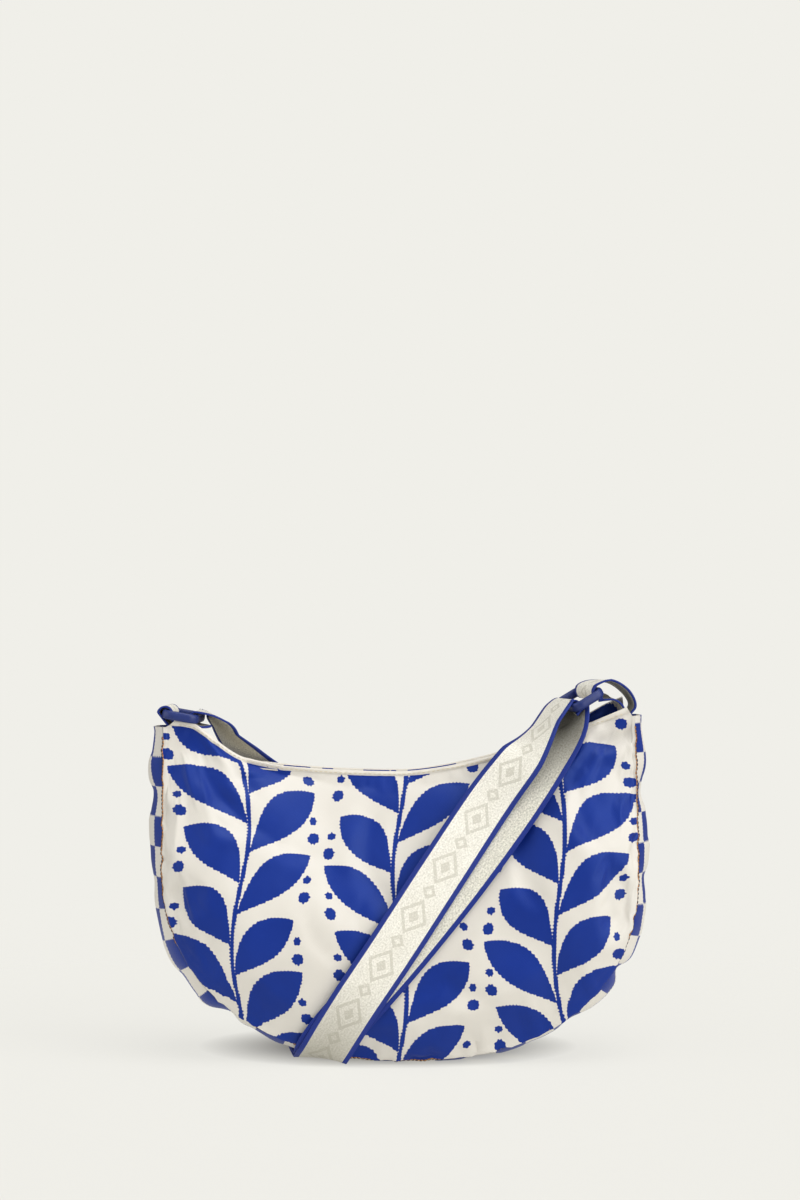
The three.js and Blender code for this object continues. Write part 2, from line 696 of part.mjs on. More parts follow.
const bag = new THREE.Group();
bag.add(
  panel("front_panel", -1, frontDents),
  panel("back_panel", 1, backDents),
  gusset(),
  ...zip(),
  ringMesh("ring_left", ringLeft),
  ringMesh("ring_right", ringRight),
  ...tabs(),
  strap(),
  strapSlide(),
);

export default bag;
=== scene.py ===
import math

import bmesh
import bpy
import numpy as np
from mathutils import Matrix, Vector, noise


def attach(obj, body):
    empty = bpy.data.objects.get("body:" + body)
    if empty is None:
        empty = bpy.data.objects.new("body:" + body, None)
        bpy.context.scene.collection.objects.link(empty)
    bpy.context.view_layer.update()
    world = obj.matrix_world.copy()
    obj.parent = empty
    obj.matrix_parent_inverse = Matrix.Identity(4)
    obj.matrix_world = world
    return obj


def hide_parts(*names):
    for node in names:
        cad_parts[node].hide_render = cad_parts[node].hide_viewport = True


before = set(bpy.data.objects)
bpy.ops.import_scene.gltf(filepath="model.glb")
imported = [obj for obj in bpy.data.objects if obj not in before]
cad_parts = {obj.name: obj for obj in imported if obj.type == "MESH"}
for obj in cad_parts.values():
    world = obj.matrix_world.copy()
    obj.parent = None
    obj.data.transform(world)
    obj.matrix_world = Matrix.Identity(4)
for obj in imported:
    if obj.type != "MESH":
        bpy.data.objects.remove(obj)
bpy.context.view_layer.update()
scene = bpy.context.scene
scene.view_settings.view_transform = "Standard"

MM = 0.001
TAU = 2 * math.pi
FRONT = -1
BACK = 1

# Sizes of the bag in millimetres, the same as the solids have
CLOTH = 1.6
SEAM_GAP = 0.3
WEBBING_WIDTH = 38.0
WEBBING_THICKNESS = 1.5
LAYER_PITCH = 2.2
SEAM_HALF_WIDTH = 179.0
SEAM_WAIST = 150.0
SEAM_DROP = 144.5
SEAM_ROUNDNESS = {"left": 2.15, "right": 2.35}
HORN_SEAM = {"left": (-179.5, 254.5), "right": (178.0, 263.0)}
MOUTH_DIP = 219.5
MOUTH_LEFT = {"x": -173.5, "rise": 38.5, "power": 2.0, "late_step": 0.6}
MOUTH_RIGHT = {"x": 174.0, "rise": 50.0, "power": 1.6, "late_step": 0.0}
# Where a late step in the mouth's rise begins and ends, as shares of its half
MOUTH_STEP = (0.68, 0.98)
MOUTH_HALF = {"middle": 13.0, "horn": 21.6}
GUSSET_HALF = {"base": 43.0, "horn": 22.4}
HORN_TAPER = 0.24
PANEL_SWELL = 25.0
PANEL_SWELL_ROUNDNESS = 0.7
PANEL_LEAN_POWER = 0.8
GUSSET_FULLNESS = {"base": 2.6, "side": 1.35}
# How far the gusset stands out from the seam: share of the seam's length, swell
GUSSET_SWELL = [
    (0, 11),
    (0.06, 16),
    (0.2, 15),
    (0.27, 18),
    (0.34, 13),
    (0.42, 10),
    (0.58, 10),
    (0.66, 12),
    (0.73, 15),
    (0.8, 14),
    (0.94, 13),
    (1, 9),
]
# Shallow dents in the panels: x, z, spread and depth
FRONT_DENTS = [
    (-12, 172, 26, 4.5),
    (-128, 178, 24, 4),
    (-60, 196, 20, 3),
    (128, 196, 24, 5),
    (96, 92, 26, 3.5),
    (-92, 62, 22, 3),
]
BACK_DENTS = [(84, 176, 28, 4.5), (-126, 168, 24, 4), (40, 84, 26, 3.5)]
# Gathers that draw the gusset in: share of the seam's length, reach and depth
GATHERS = [
    (0.07, 0.016, 3),
    (0.16, 0.014, 2.5),
    (0.255, 0.012, 1),
    (0.308, 0.012, 6),
    (0.345, 0.012, 2.5),
    (0.67, 0.018, 4),
    (0.738, 0.009, 7),
    (0.83, 0.014, 2.5),
    (0.92, 0.018, 5),
]
# Soft creases seen on the panels: from x, z to x, z, half width and depth
FRONT_CREASES = [
    (-22, 188, -9, 122, 9, 1.9),
    (-152, 234, -128, 194, 8, 2.2),
    (-128, 232, -110, 206, 6, 1.8),
    (-146, 196, -118, 178, 7, 1.6),
    (148, 243, 177, 251, 6, 2.2),
    (90, 178, 106, 122, 11, 2.4),
    (134, 214, 150, 168, 8, 1.6),
    (-70, 120, -52, 84, 9, 1.2),
    (30, 74, 62, 52, 9, 1.3),
]
BACK_CREASES = [
    (60, 190, 84, 120, 10, 2.2),
    (-20, 186, -8, 118, 9, 1.6),
    (140, 222, 122, 172, 8, 2.0),
    (-150, 226, -126, 178, 8, 2.0),
    (10, 80, 48, 56, 9, 1.3),
]
# The strap's band under the base: x and y at its two ends, and how it lifts the cloth
STRAP_UNDER_FRONT = (-59.0, -50.0)
STRAP_UNDER_BACK = (-72.0, 50.0)
STRAP_LIFT = 6.8
STRAP_LIFT_HALF = 24.0
STRAP_LIFT_FADE = 10.0
# The zip: its drop under the mouth's edge, its sizes, and shares of the mouth's width
ZIP_DROP = 3.0
ZIP_CHAIN_WIDTH = 5.0
ZIP_CHAIN_HEIGHT = 2.4
ZIP_TAPE = 0.9
ZIP_SPAN = (0.045, 0.955)
ZIP_SLIDER_AT = 0.9
RING_SPACING = 24.3
RING_LONG_HALF = 23.0
RING_BAR = {"in_plane": 4.4, "across": 7.0}
RING_CORNER = 6.0
LOOP_RADIUS = 5.4
RING_RIGHT = {
    "tab_bar": (148, -1, 281.5),
    "along": (-0.31, 0.95, 0),
    "toward_strap": (-0.823, -0.288, -0.49),
}
RING_LEFT = {
    "tab_bar": (-179.5, 0, 264.6),
    "along": (0.06, 0.998, 0),
    "toward_strap": (0.985, 0, -0.17),
}
SLIDE = {"length": 26.0, "width": 47.0, "thickness": 2.0, "bar": 3.4, "stand_off": 6.0, "weave": 2.9}


def mix(a, b, share):
    return a + (b - a) * share


def smooth(x, low, high):
    t = np.clip((np.asarray(x, float) - low) / (high - low), 0, 1)
    return t * t * (3 - 2 * t)


def unit(vector):
    vector = np.asarray(vector, float)
    return vector / np.linalg.norm(vector, axis=-1, keepdims=True)


def seam_outline():
    """The seam in the XZ plane from horn to horn: near straight sides over a superellipse."""
    path = []
    side_steps = 24
    round_steps = 160

    def side(horn, edge, share):
        return (mix(horn[0], edge, 1 - (1 - share) ** 2), mix(horn[1], SEAM_WAIST, share))

    for i in range(side_steps):
        path.append(side(HORN_SEAM["left"], -SEAM_HALF_WIDTH, i / side_steps))
    for i in range(round_steps + 1):
        angle = math.pi * (1 - i / round_steps)
        power = 2 / SEAM_ROUNDNESS["left" if angle > math.pi / 2 else "right"]
        reach = math.copysign(abs(math.cos(angle)) ** power, math.cos(angle))
        drop = SEAM_DROP * max(math.sin(angle), 0) ** power
        path.append((reach * SEAM_HALF_WIDTH, SEAM_WAIST - drop))
    for i in reversed(range(side_steps)):
        path.append(side(HORN_SEAM["right"], SEAM_HALF_WIDTH, i / side_steps))
    return np.array(path)


SEAM_PATH = seam_outline()
SEAM_STEPS = np.linalg.norm(np.diff(SEAM_PATH, axis=0), axis=1)
SEAM_LENGTH = SEAM_STEPS.sum()
SEAM_SHARES = np.concatenate([[0], np.cumsum(SEAM_STEPS)]) / SEAM_LENGTH


def seam_point(share):
    x = np.interp(share, SEAM_SHARES, SEAM_PATH[:, 0])
    z = np.interp(share, SEAM_SHARES, SEAM_PATH[:, 1])
    return np.stack([x, z], -1)


def seam_outward(share):
    step = 0.012
    run = unit(seam_point(np.minimum(share + step, 1)) - seam_point(np.maximum(share - step, 0)))
    return np.stack([run[..., 1], -run[..., 0]], -1)


def mouth_point(share):
    x = mix(MOUTH_LEFT["x"], MOUTH_RIGHT["x"], np.asarray(share, float))
    heights = []
    for horn in (MOUTH_LEFT, MOUTH_RIGHT):
        out = np.abs(x / horn["x"])
        climb = mix(out ** horn["power"], smooth(out, *MOUTH_STEP), horn["late_step"])
        heights.append(MOUTH_DIP + horn["rise"] * climb)
    return np.stack([x, np.where(x < 0, heights[0], heights[1])], -1)


def from_horn(share):
    return smooth(np.minimum(share, 1 - share), 0, HORN_TAPER)


def mouth_half(share):
    return mix(MOUTH_HALF["horn"], MOUTH_HALF["middle"], from_horn(share))


def gusset_half(share):
    return mix(GUSSET_HALF["horn"], GUSSET_HALF["base"], from_horn(share))


def panel_place(share, down):
    return mix(mouth_point(share), seam_point(share), np.asarray(down, float)[..., None])


def panel_depth(share, down, dents):
    """How far a panel's outer face stands from the middle plane of the bag."""
    place = panel_place(share, down)
    lean = mix(mouth_half(share), gusset_half(share), down ** PANEL_LEAN_POWER)
    round_out = np.maximum(4 * down * (1 - down), 0) ** PANEL_SWELL_ROUNDNESS
    depth = lean + PANEL_SWELL * from_horn(share) * round_out
    for x, z, spread, deep in dents:
        away = (place[..., 0] - x) ** 2 + (place[..., 1] - z) ** 2
        depth = depth - deep * np.exp(-away / spread**2)
    return depth


def panel_share_at(x, z):
    """The share and down of a panel's place, found by Newton steps."""
    nudge = 1e-3
    newton_steps = 20
    share = (x - MOUTH_LEFT["x"]) / (MOUTH_RIGHT["x"] - MOUTH_LEFT["x"])
    down = 0.5
    cross = lambda a, b: a[0] * b[1] - a[1] * b[0]
    for _ in range(newton_steps):
        here = panel_place(share, down)
        by_share = (panel_place(share + nudge, down) - here) / nudge
        by_down = (panel_place(share, down + nudge) - here) / nudge
        miss = np.array([x, z]) - here
        area = cross(by_share, by_down)
        share = float(np.clip(share + cross(miss, by_down) / area, nudge, 1 - 2 * nudge))
        down = float(np.clip(down + cross(by_share, miss) / area, 0, 1 - nudge))
    return share, down


def over_panel(x, z, stand_off, side, dents):
    """A place that stands off a panel's face at (x, z), with the way the face looks there."""
    reach = 8

    def depth_at(px, pz):
        share, down = panel_share_at(px, pz)
        return float(panel_depth(share, down, dents))

    slope_x = (depth_at(x + reach, z) - depth_at(x - reach, z)) / (2 * reach)
    slope_z = (depth_at(x, z + reach) - depth_at(x, z - reach)) / (2 * reach)
    face = unit([-slope_x, side, -slope_z])
    return np.array([x, side * depth_at(x, z), z]) + face * stand_off, face


def floor_height(x, y):
    """The floor under the bag, raised where the strap passes beneath it."""
    along = (y - STRAP_UNDER_FRONT[1]) / (STRAP_UNDER_BACK[1] - STRAP_UNDER_FRONT[1])
    centre = mix(STRAP_UNDER_FRONT[0], STRAP_UNDER_BACK[0], along)
    away = np.abs(x - centre) - STRAP_LIFT_HALF
    return STRAP_LIFT * (1 - smooth(away, 0, STRAP_LIFT_FADE))


def swell_at(share):
    swell = np.zeros_like(share)
    for (a, swell_a), (b, swell_b) in zip(GUSSET_SWELL, GUSSET_SWELL[1:]):
        here = (share >= a) & (share <= b)
        swell = np.where(here, mix(swell_a, swell_b, smooth(share, a, b)), swell)
    for at, reach, deep in GATHERS:
        swell = swell - deep * np.exp(-(((share - at) / reach) ** 2))
    return swell


# Mesh helpers: points in millimetres, meshes in metres


def in_scene(name, data):
    thing = bpy.data.objects.new(name, data)
    scene.collection.objects.link(thing)
    return thing


def new_piece(name, points, faces, materials, face_materials=None, uv=None, sharp=50):
    mesh = bpy.data.meshes.new(name)
    mesh.from_pydata((np.asarray(points, float) * MM).tolist(), [], faces)
    mesh.polygons.foreach_set("use_smooth", [True] * len(mesh.polygons))
    for material in materials:
        mesh.materials.append(material)
    if face_materials is not None:
        mesh.polygons.foreach_set("material_index", face_materials)
    if uv is not None:
        layer = mesh.uv_layers.new(name="cloth")
        corner = np.empty(len(mesh.loops), int)
        mesh.loops.foreach_get("vertex_index", corner)
        layer.data.foreach_set("uv", (np.asarray(uv, float)[corner] * MM).ravel())
    mesh.set_sharp_from_angle(angle=math.radians(sharp))
    mesh.update()
    return in_scene(name, mesh)


def outwards(piece):
    """Turns a closed piece's faces outwards."""
    work = bmesh.new()
    work.from_mesh(piece.data)
    if work.calc_volume(signed=True) < 0:
        bmesh.ops.reverse_faces(work, faces=work.faces)
        work.to_mesh(piece.data)
    work.free()
    return piece


def grid_normals(grid):
    across = np.gradient(grid, axis=0)
    down = np.gradient(grid, axis=1)
    return unit(np.cross(across, down))


def grid_quads(index):
    """The quads of a grid of point numbers."""
    return np.stack([index[:-1, :-1], index[:-1, 1:], index[1:, 1:], index[1:, :-1]], -1).reshape(-1, 4)


def wall_faces(columns, rows):
    """Quads of an outer and an inner grid of points, joined all round their rim."""
    outer = np.arange(columns * rows).reshape(columns, rows)
    inner = outer + columns * rows
    rim = lambda grid: np.concatenate([grid[:-1, 0], grid[-1, :-1], grid[:0:-1, -1], grid[0, :0:-1]])
    out, into = rim(outer), rim(inner)
    edge = np.stack([out, np.roll(out, -1), np.roll(into, -1), into], -1)
    turned = grid_quads(inner)[:, [0, 3, 2, 1]]
    return np.concatenate([grid_quads(outer), turned, edge]).tolist()


def wall_piece(name, outer, inner, uv, material):
    columns, rows = outer.shape[:2]
    points = np.concatenate([outer.reshape(-1, 3), inner.reshape(-1, 3)])
    both = np.concatenate([uv.reshape(-1, 2)] * 2)
    return outwards(new_piece(name, points, wall_faces(columns, rows), [material], uv=both))


def loft_faces(count, sections, closes=False):
    faces = []
    for i in range(sections if closes else sections - 1):
        here = i * count
        there = ((i + 1) % sections) * count
        for k in range(count):
            k1 = (k + 1) % count
            faces.append((here + k, here + k1, there + k1, there + k))
    if not closes:
        faces.append(tuple(range(count)))
        faces.append(tuple((sections - 1) * count + k for k in reversed(range(count))))
    return faces


class Curve:
    """A centripetal Catmull-Rom curve through its points, with t from 0 to 1."""

    def __init__(self, points):
        self.points = np.asarray(points, float)

    def at(self, t):
        points = self.points
        spans = len(points) - 1
        i = min(int(math.floor(t * spans + 1e-9)), spans - 1)
        s = t * spans - i
        p1, p2 = points[i], points[i + 1]
        p0 = points[i - 1] if i > 0 else 2 * p1 - p2
        p3 = points[i + 2] if i + 2 <= spans else 2 * p2 - p1
        gap = lambda a, b: max(math.sqrt(np.linalg.norm(b - a)), 1e-4)
        d0, d1, d2 = gap(p0, p1), gap(p1, p2), gap(p2, p3)
        t1 = ((p1 - p0) / d0 - (p2 - p0) / (d0 + d1) + (p2 - p1) / d1) * d1
        t2 = ((p2 - p1) / d1 - (p3 - p1) / (d1 + d2) + (p3 - p2) / d2) * d1
        c2 = -3 * p1 + 3 * p2 - 2 * t1 - t2
        c3 = 2 * p1 - 2 * p2 + t1 + t2
        return p1 + t1 * s + c2 * s * s + c3 * s**3

    def run(self, t):
        low, high = max(t - 1e-4, 0), min(t + 1e-4, 1)
        return unit(self.at(high) - self.at(low))


def webbing_frames(stations, steps_between):
    """Middle points, widths and thicknesses along a run of webbing, with the length so far."""
    curve = Curve([place for place, _ in stations])
    spans = len(stations) - 1
    frames = []
    length = 0.0
    for i in range(spans * steps_between + 1):
        t = i / (spans * steps_between)
        span = min(int(t * spans + 1e-9), spans - 1)
        face = unit(mix(stations[span][1], stations[span + 1][1], t * spans - span))
        run = curve.run(t)
        wide = unit(np.cross(run, face))
        thick = unit(np.cross(wide, run))
        place = curve.at(t)
        if frames:
            length += np.linalg.norm(place - frames[-1][0])
        frames.append((place, wide, thick, length))
    return frames


HALF_WEB = WEBBING_WIDTH / 2
HALF_THICK = WEBBING_THICKNESS / 2
# How far the webbing's edges are rounded, across and in height
WEB_ROUND = (0.25, 0.35)
FLAT_HALF = HALF_WEB - WEB_ROUND[0]
EDGE_HALF = HALF_THICK - WEB_ROUND[1]
# The webbing's cross section: across, height
WEB_SECTION = [
    (-FLAT_HALF, HALF_THICK),
    (-HALF_WEB, EDGE_HALF),
    (-HALF_WEB, -EDGE_HALF),
    (-FLAT_HALF, -HALF_THICK),
    (FLAT_HALF, -HALF_THICK),
    (HALF_WEB, -EDGE_HALF),
    (HALF_WEB, EDGE_HALF),
    (FLAT_HALF, HALF_THICK),
]
# The row where the reverse begins, and how many strips each broad side is split into
WEB_REVERSE_SIDE = 3
WEB_SPLITS = 10
# Steps of the webbing's turn round a ring's bar
BAR_STEPS = 6


def web_profile():
    """The cross section with its two broad sides split, and which of its edges are the reverse."""
    profile = []
    reverse = []
    count = len(WEB_SECTION)
    for k, (across, height) in enumerate(WEB_SECTION):
        next_across, next_height = WEB_SECTION[(k + 1) % count]
        splits = WEB_SPLITS if abs(next_across - across) > HALF_WEB else 1
        for i in range(splits):
            profile.append((mix(across, next_across, i / splits), mix(height, next_height, i / splits)))
            reverse.append(k == WEB_REVERSE_SIDE)
    return profile, reverse


def webbing_piece(name, frames, materials):
    """A band of webbing along its frames, with face and reverse materials and its length as UV."""
    profile, reverse = web_profile()
    points = []
    uv = []
    for place, wide, thick, length in frames:
        for across, height in profile:
            points.append(place + wide * across + thick * height)
            uv.append((length, across))
    faces = loft_faces(len(profile), len(frames))
    end_caps = [0, 0]
    face_materials = [int(r) for r in reverse] * (len(frames) - 1) + end_caps
    return outwards(new_piece(name, points, faces, materials, face_materials, uv, sharp=70))


def round_bar(bar, first_leg, top):
    """Stations round a bar, from one leg to the other, with the face looking away from the bar."""
    stations = []
    for i in range(BAR_STEPS + 1):
        angle = math.pi * i / BAR_STEPS
        face = first_leg * math.cos(angle) + top * math.sin(angle)
        stations.append((bar + face * LOOP_RADIUS, face))
    return stations


def upward(vector):
    return -vector if vector[2] < 0 else vector


def station(x, y, z, face):
    return np.array([x, y, z], float), unit(face)


def ring_frame(ring):
    along = unit(ring["along"])
    across = np.array(ring["toward_strap"], float)
    across = unit(across - along * across.dot(along))
    normal = np.cross(along, across)
    tab_bar = np.array(ring["tab_bar"], float)
    return along, across, normal, tab_bar, tab_bar + across * RING_SPACING


# The strap's stations: places on the panels, round the base and at the rings
STRAP_FROM_RING = [
    station(111.5, -21, 257, (-0.8, -0.45, 0.4)),
    station(93, -38, 233, (-0.5, -0.84, 0.2)),
]
STRAP_BACK_TO_RING = [
    station(108, -36, 224, (0.45, 0.88, -0.1)),
    station(131, -18, 256, (0.7, 0.62, -0.3)),
]
# x, z, stand off, how far the return layer lies under it, and how far that one slips sideways
STRAP_ON_FRONT = [
    (70.5, 200, 5.8, 3, 19),
    (31.5, 145, 4, LAYER_PITCH, 15),
    (-6.5, 88.5, 4, LAYER_PITCH, 8),
    (-34, 48, 4, LAYER_PITCH, 2),
    (-48, 26, 4.8, LAYER_PITCH, -2),
]
# x, y, z, the way the face looks, and the slip of the return layer
STRAP_UNDER_BASE = [
    (-54, -53.5, 15, (-0.1, -0.88, -0.45), -3),
    (-57.5, -50, 9, (-0.2, -0.7, -0.7), -3),
    (-60, -42, 5.6, (-0.2, -0.25, -0.95), -2),
    (-62.5, -24, 2.4, (-0.04, -0.05, -1), 0),
    (-65.5, 0, 1.8, (-0.03, 0, -1), 0),
    (-68.5, 24, 2.4, (-0.04, 0.05, -1), 0),
    (-71, 39, 5.5, (-0.2, 0.3, -0.95), 0),
    (-73, 47.5, 10.5, (-0.2, 0.7, -0.7), 0),
]
# x, z and stand off
STRAP_ON_BACK = [
    (-74, 22, 5.4),
    (-75, 48, 4.4),
    (-74, 80, 3.8),
    (-72.3, 98.5, 3.8),
    (-71.8, 102.5, 3.8),
]
STRAP_SLIDE_PLACE = (-71, 112)
STRAP_PAST_SLIDE = [
    (-69.8, 121.5, 3.8),
    (-69.2, 126, 3.8),
    (-71, 145, 3),
    (-80, 172, 3),
    (-100, 203, 4.5),
]
STRAP_TO_LEFT_RING = [
    station(-113, 31.5, 220, (0.24, 0.72, 0.64)),
    station(-125.5, 21, 236, (0.4, 0.5, 0.76)),
    station(-136, 9.5, 250.5, (0.56, 0.26, 0.78)),
    station(-142.5, 2, 261.3, (0.34, 0.02, 0.94)),
]
STRAP_TAIL = station(-150.5, 0.5, 255.1, (0, 0, -1))


def strap_layers():
    """The outer layer's doubled stations with their under and slip, and the rest of the outer layer."""
    doubled = []
    for x, z, stand_off, under, slip in STRAP_ON_FRONT:
        doubled.append((*over_panel(x, z, stand_off, FRONT, FRONT_DENTS), under, slip))
    for x, y, z, face, slip in STRAP_UNDER_BASE:
        doubled.append((*station(x, y, z, face), LAYER_PITCH, slip))
    for x, z, stand_off in STRAP_ON_BACK:
        doubled.append((*over_panel(x, z, stand_off, BACK, BACK_DENTS), LAYER_PITCH, 0))
    over_slide = SLIDE["stand_off"] + SLIDE["weave"]
    single = [over_panel(*STRAP_SLIDE_PLACE, over_slide, BACK, BACK_DENTS)]
    for x, z, stand_off in STRAP_PAST_SLIDE:
        single.append(over_panel(x, z, stand_off, BACK, BACK_DENTS))
    return doubled, single + STRAP_TO_LEFT_RING


def strap_return(doubled):
    """The return layer lies under the outer one, from its sewn end by the slide to the right ring."""
    curve = Curve([place for place, *_ in doubled])
    stations = []
    for i, (place, face, under, slip) in enumerate(doubled):
        run = curve.run(i / (len(doubled) - 1))
        wide = unit(np.cross(run, face))
        thick = unit(np.cross(wide, run))
        stations.append((place - thick * under - wide * slip, -face))
    return stations


def strap_stations():
    doubled, single = strap_layers()
    along, _, _, _, right_bar = ring_frame(RING_RIGHT)
    pull = unit(STRAP_FROM_RING[0][0] - right_bar)
    front_leg = unit(np.cross(along, pull))
    turn_top = unit(np.cross(along, front_leg))
    if turn_top.dot(pull) > 0:
        turn_top = -turn_top
    left_along, left_across, _, _, left_bar = ring_frame(RING_LEFT)
    left_leg = upward(unit(np.cross(left_along, -left_across)))
    return [
        *reversed(strap_return(doubled)),
        *STRAP_BACK_TO_RING,
        *round_bar(right_bar, -front_leg, turn_top),
        *STRAP_FROM_RING,
        *[(place, face) for place, face, *_ in doubled],
        *single,
        *round_bar(left_bar, left_leg, -left_across),
        STRAP_TAIL,
    ]


def tab_stations():
    along, across, _, right_bar, _ = ring_frame(RING_RIGHT)
    right_side = upward(unit(np.cross(along, across)))
    right = [
        station(176.2, 0, 256.5, (1, 0, 0)),
        station(176.4, 0, 263.2, (1, 0, 0.1)),
        station(180, 0, 271, (1, 0.05, 0.35)),
        station(174, -0.5, 282, (0.62, 0.09, 0.78)),
        station(161, -1, 289.5, (0.1, 0.07, 1)),
        *round_bar(right_bar, right_side, across),
        station(164, -0.5, 275.5, (0.2, 0, -1)),
        station(172, 0, 268.5, (-0.7, 0, -0.7)),
        station(173.2, 0, 258.5, (-1, 0, 0)),
    ]
    along, across, _, left_bar, _ = ring_frame(RING_LEFT)
    left_up = upward(unit(np.cross(along, -across)))
    left = [
        station(-177.8, 0, 247.5, (-1, 0, 0)),
        station(-177.8, 0, 255, (-1, 0, -0.05)),
        station(-181.3, 0, 259.6, (-0.86, 0, -0.5)),
        *round_bar(left_bar, -across, left_up),
        station(-174.2, 0, 257.5, (1, 0, 0.05)),
        station(-174.8, 0, 248.5, (1, 0, 0)),
    ]
    return left, right


# Shader maths


def math_node(tree, operation, *terms):
    node = tree.nodes.new("ShaderNodeMath")
    node.operation = operation
    for slot, term in zip(node.inputs, terms):
        plug(tree, slot, term)
    return Value(tree, node.outputs[0])


def maths(operation):
    """A method that adds one Math node, with the value itself as the first term."""
    return lambda value, *terms: math_node(value.tree, operation, value, *terms)


def plug(tree, slot, term):
    if isinstance(term, Value):
        tree.links.new(term.socket, slot)
    else:
        slot.default_value = term


class Value:
    """A shader socket. Arithmetic on it adds Math nodes to its tree."""

    def __init__(self, tree, socket):
        self.tree = tree
        self.socket = socket

    __add__ = __radd__ = maths("ADD")
    __sub__ = maths("SUBTRACT")
    __mul__ = __rmul__ = maths("MULTIPLY")
    __truediv__ = maths("DIVIDE")
    __pow__ = maths("POWER")
    __abs__ = maths("ABSOLUTE")
    __gt__ = maths("GREATER_THAN")
    __lt__ = maths("LESS_THAN")
    floor = maths("FLOOR")
    sin = maths("SINE")
    at_least = maths("MAXIMUM")
    at_most = maths("MINIMUM")

    def __rsub__(self, other):
        return math_node(self.tree, "SUBTRACT", other, self)

    def remainder(self, count):
        """What is left of a whole number when it is divided by a count."""
        return self - count * (self / count).floor()

    def clamp(self):
        return self.at_least(0.0).at_most(1.0)

    def over(self, low, high):
        """0 below low, 1 above high, straight between them."""
        return ((self - low) / (high - low)).clamp()


class Tree:
    """A node tree, with one method for any node: its settings first, then its sockets."""

    def __init__(self, tree):
        self.tree = tree

    def node(self, kind, settings=None, sockets=None, output=0):
        node = self.tree.nodes.new(kind)
        for name, value in (settings or {}).items():
            setattr(node, name, value)
        for name, value in (sockets or {}).items():
            plug(self.tree, node.inputs[name], value)
        return Value(self.tree, node.outputs[output])


class Finish(Tree):
    """A material with one Principled shader."""

    def __init__(self, name, **constants):
        self.material = bpy.data.materials.new(name)
        self.material.use_nodes = True
        super().__init__(self.material.node_tree)
        self.shader = next(n for n in self.tree.nodes if n.type == "BSDF_PRINCIPLED")
        for socket, value in constants.items():
            self.shader.inputs[socket.replace("_", " ")].default_value = value

    def feed(self, **sockets):
        for name, value in sockets.items():
            plug(self.tree, self.shader.inputs[name.replace("_", " ")], value)

    def place(self, uv_map=None):
        """The piece's own UV map in metres, or else its Object coordinates."""
        if uv_map:
            vector = self.node("ShaderNodeUVMap", {"uv_map": uv_map})
        else:
            vector = self.node("ShaderNodeTexCoord", output="Object")
        parts = self.tree.nodes.new("ShaderNodeSeparateXYZ")
        self.tree.links.new(vector.socket, parts.inputs[0])
        return vector, *(Value(self.tree, parts.outputs[i]) for i in range(3))

    def noise(self, vector, scale, detail=2.0):
        sockets = {"Vector": vector, "Scale": scale, "Detail": detail}
        return self.node("ShaderNodeTexNoise", None, sockets, "Fac")

    def blend(self, factor, a, b):
        node = self.tree.nodes.new("ShaderNodeMix")
        node.data_type = "RGBA"
        plug(self.tree, node.inputs["Factor"], factor)
        colour_slots = [s for s in node.inputs if s.type == "RGBA"]
        plug(self.tree, colour_slots[0], a)
        plug(self.tree, colour_slots[1], b)
        return Value(self.tree, next(s for s in node.outputs if s.type == "RGBA"))

    def bump(self, height, distance, strength):
        sockets = {"Height": height, "Distance": distance, "Strength": strength}
        self.feed(Normal=self.node("ShaderNodeBump", None, sockets, "Normal"))


class Growth(Tree):
    """A Geometry Nodes tree that takes a curve and named sizes in metres."""

    def __init__(self, name, **sizes):
        super().__init__(bpy.data.node_groups.new(name, "GeometryNodeTree"))
        face = self.tree.interface
        face.new_socket("Path", in_out="INPUT", socket_type="NodeSocketGeometry")
        for label in sizes:
            face.new_socket(label, in_out="INPUT", socket_type="NodeSocketFloat")
        face.new_socket("Result", in_out="OUTPUT", socket_type="NodeSocketGeometry")
        self.sizes = sizes
        self.entry = self.tree.nodes.new("NodeGroupInput")

    def given(self, label):
        return Value(self.tree, self.entry.outputs[label])

    def along_path(self, pitch):
        """Points a pitch apart on the path, and the turn that lays the X axis along it."""
        points = self.tree.nodes.new("GeometryNodeCurveToPoints")
        points.mode = "LENGTH"
        plug(self.tree, points.inputs["Curve"], self.given("Path"))
        plug(self.tree, points.inputs["Length"], pitch)
        tangent = Value(self.tree, points.outputs["Tangent"])
        turn = self.node("FunctionNodeAlignRotationToVector", {"axis": "X"}, {"Vector": tangent})
        return Value(self.tree, points.outputs["Points"]), turn

    def scattered(self, points, shape, rotation, material):
        """Ends the tree: the shape on each point, realized, with its material."""
        sockets = {"Points": points, "Instance": shape, "Rotation": rotation}
        copies = self.node("GeometryNodeInstanceOnPoints", None, sockets)
        real = self.node("GeometryNodeRealizeInstances", None, {"Geometry": copies})
        done = self.node("GeometryNodeSetMaterial", None, {"Geometry": real, "Material": material})
        exit_node = self.tree.nodes.new("NodeGroupOutput")
        plug(self.tree, exit_node.inputs[0], done)

    def grow(self, name, path):
        """One plain mesh piece from the tree run along a path of millimetre points."""
        curve = bpy.data.curves.new(name, "CURVE")
        curve.dimensions = "3D"
        spline = curve.splines.new("POLY")
        spline.points.add(len(path) - 1)
        flat = np.concatenate([np.asarray(path, float) * MM, np.ones((len(path), 1))], 1)
        spline.points.foreach_set("co", flat.ravel())
        source = in_scene(name + "_path", curve)
        modifier = source.modifiers.new(name, "NODES")
        modifier.node_group = self.tree
        for item in self.tree.interface.items_tree:
            if item.in_out == "INPUT" and item.name in self.sizes:
                modifier[item.identifier] = self.sizes[item.name]
        ready = source.evaluated_get(bpy.context.evaluated_depsgraph_get())
        mesh = bpy.data.meshes.new_from_object(ready)
        mesh.name = name
        bpy.data.objects.remove(source)
        return in_scene(name, mesh)


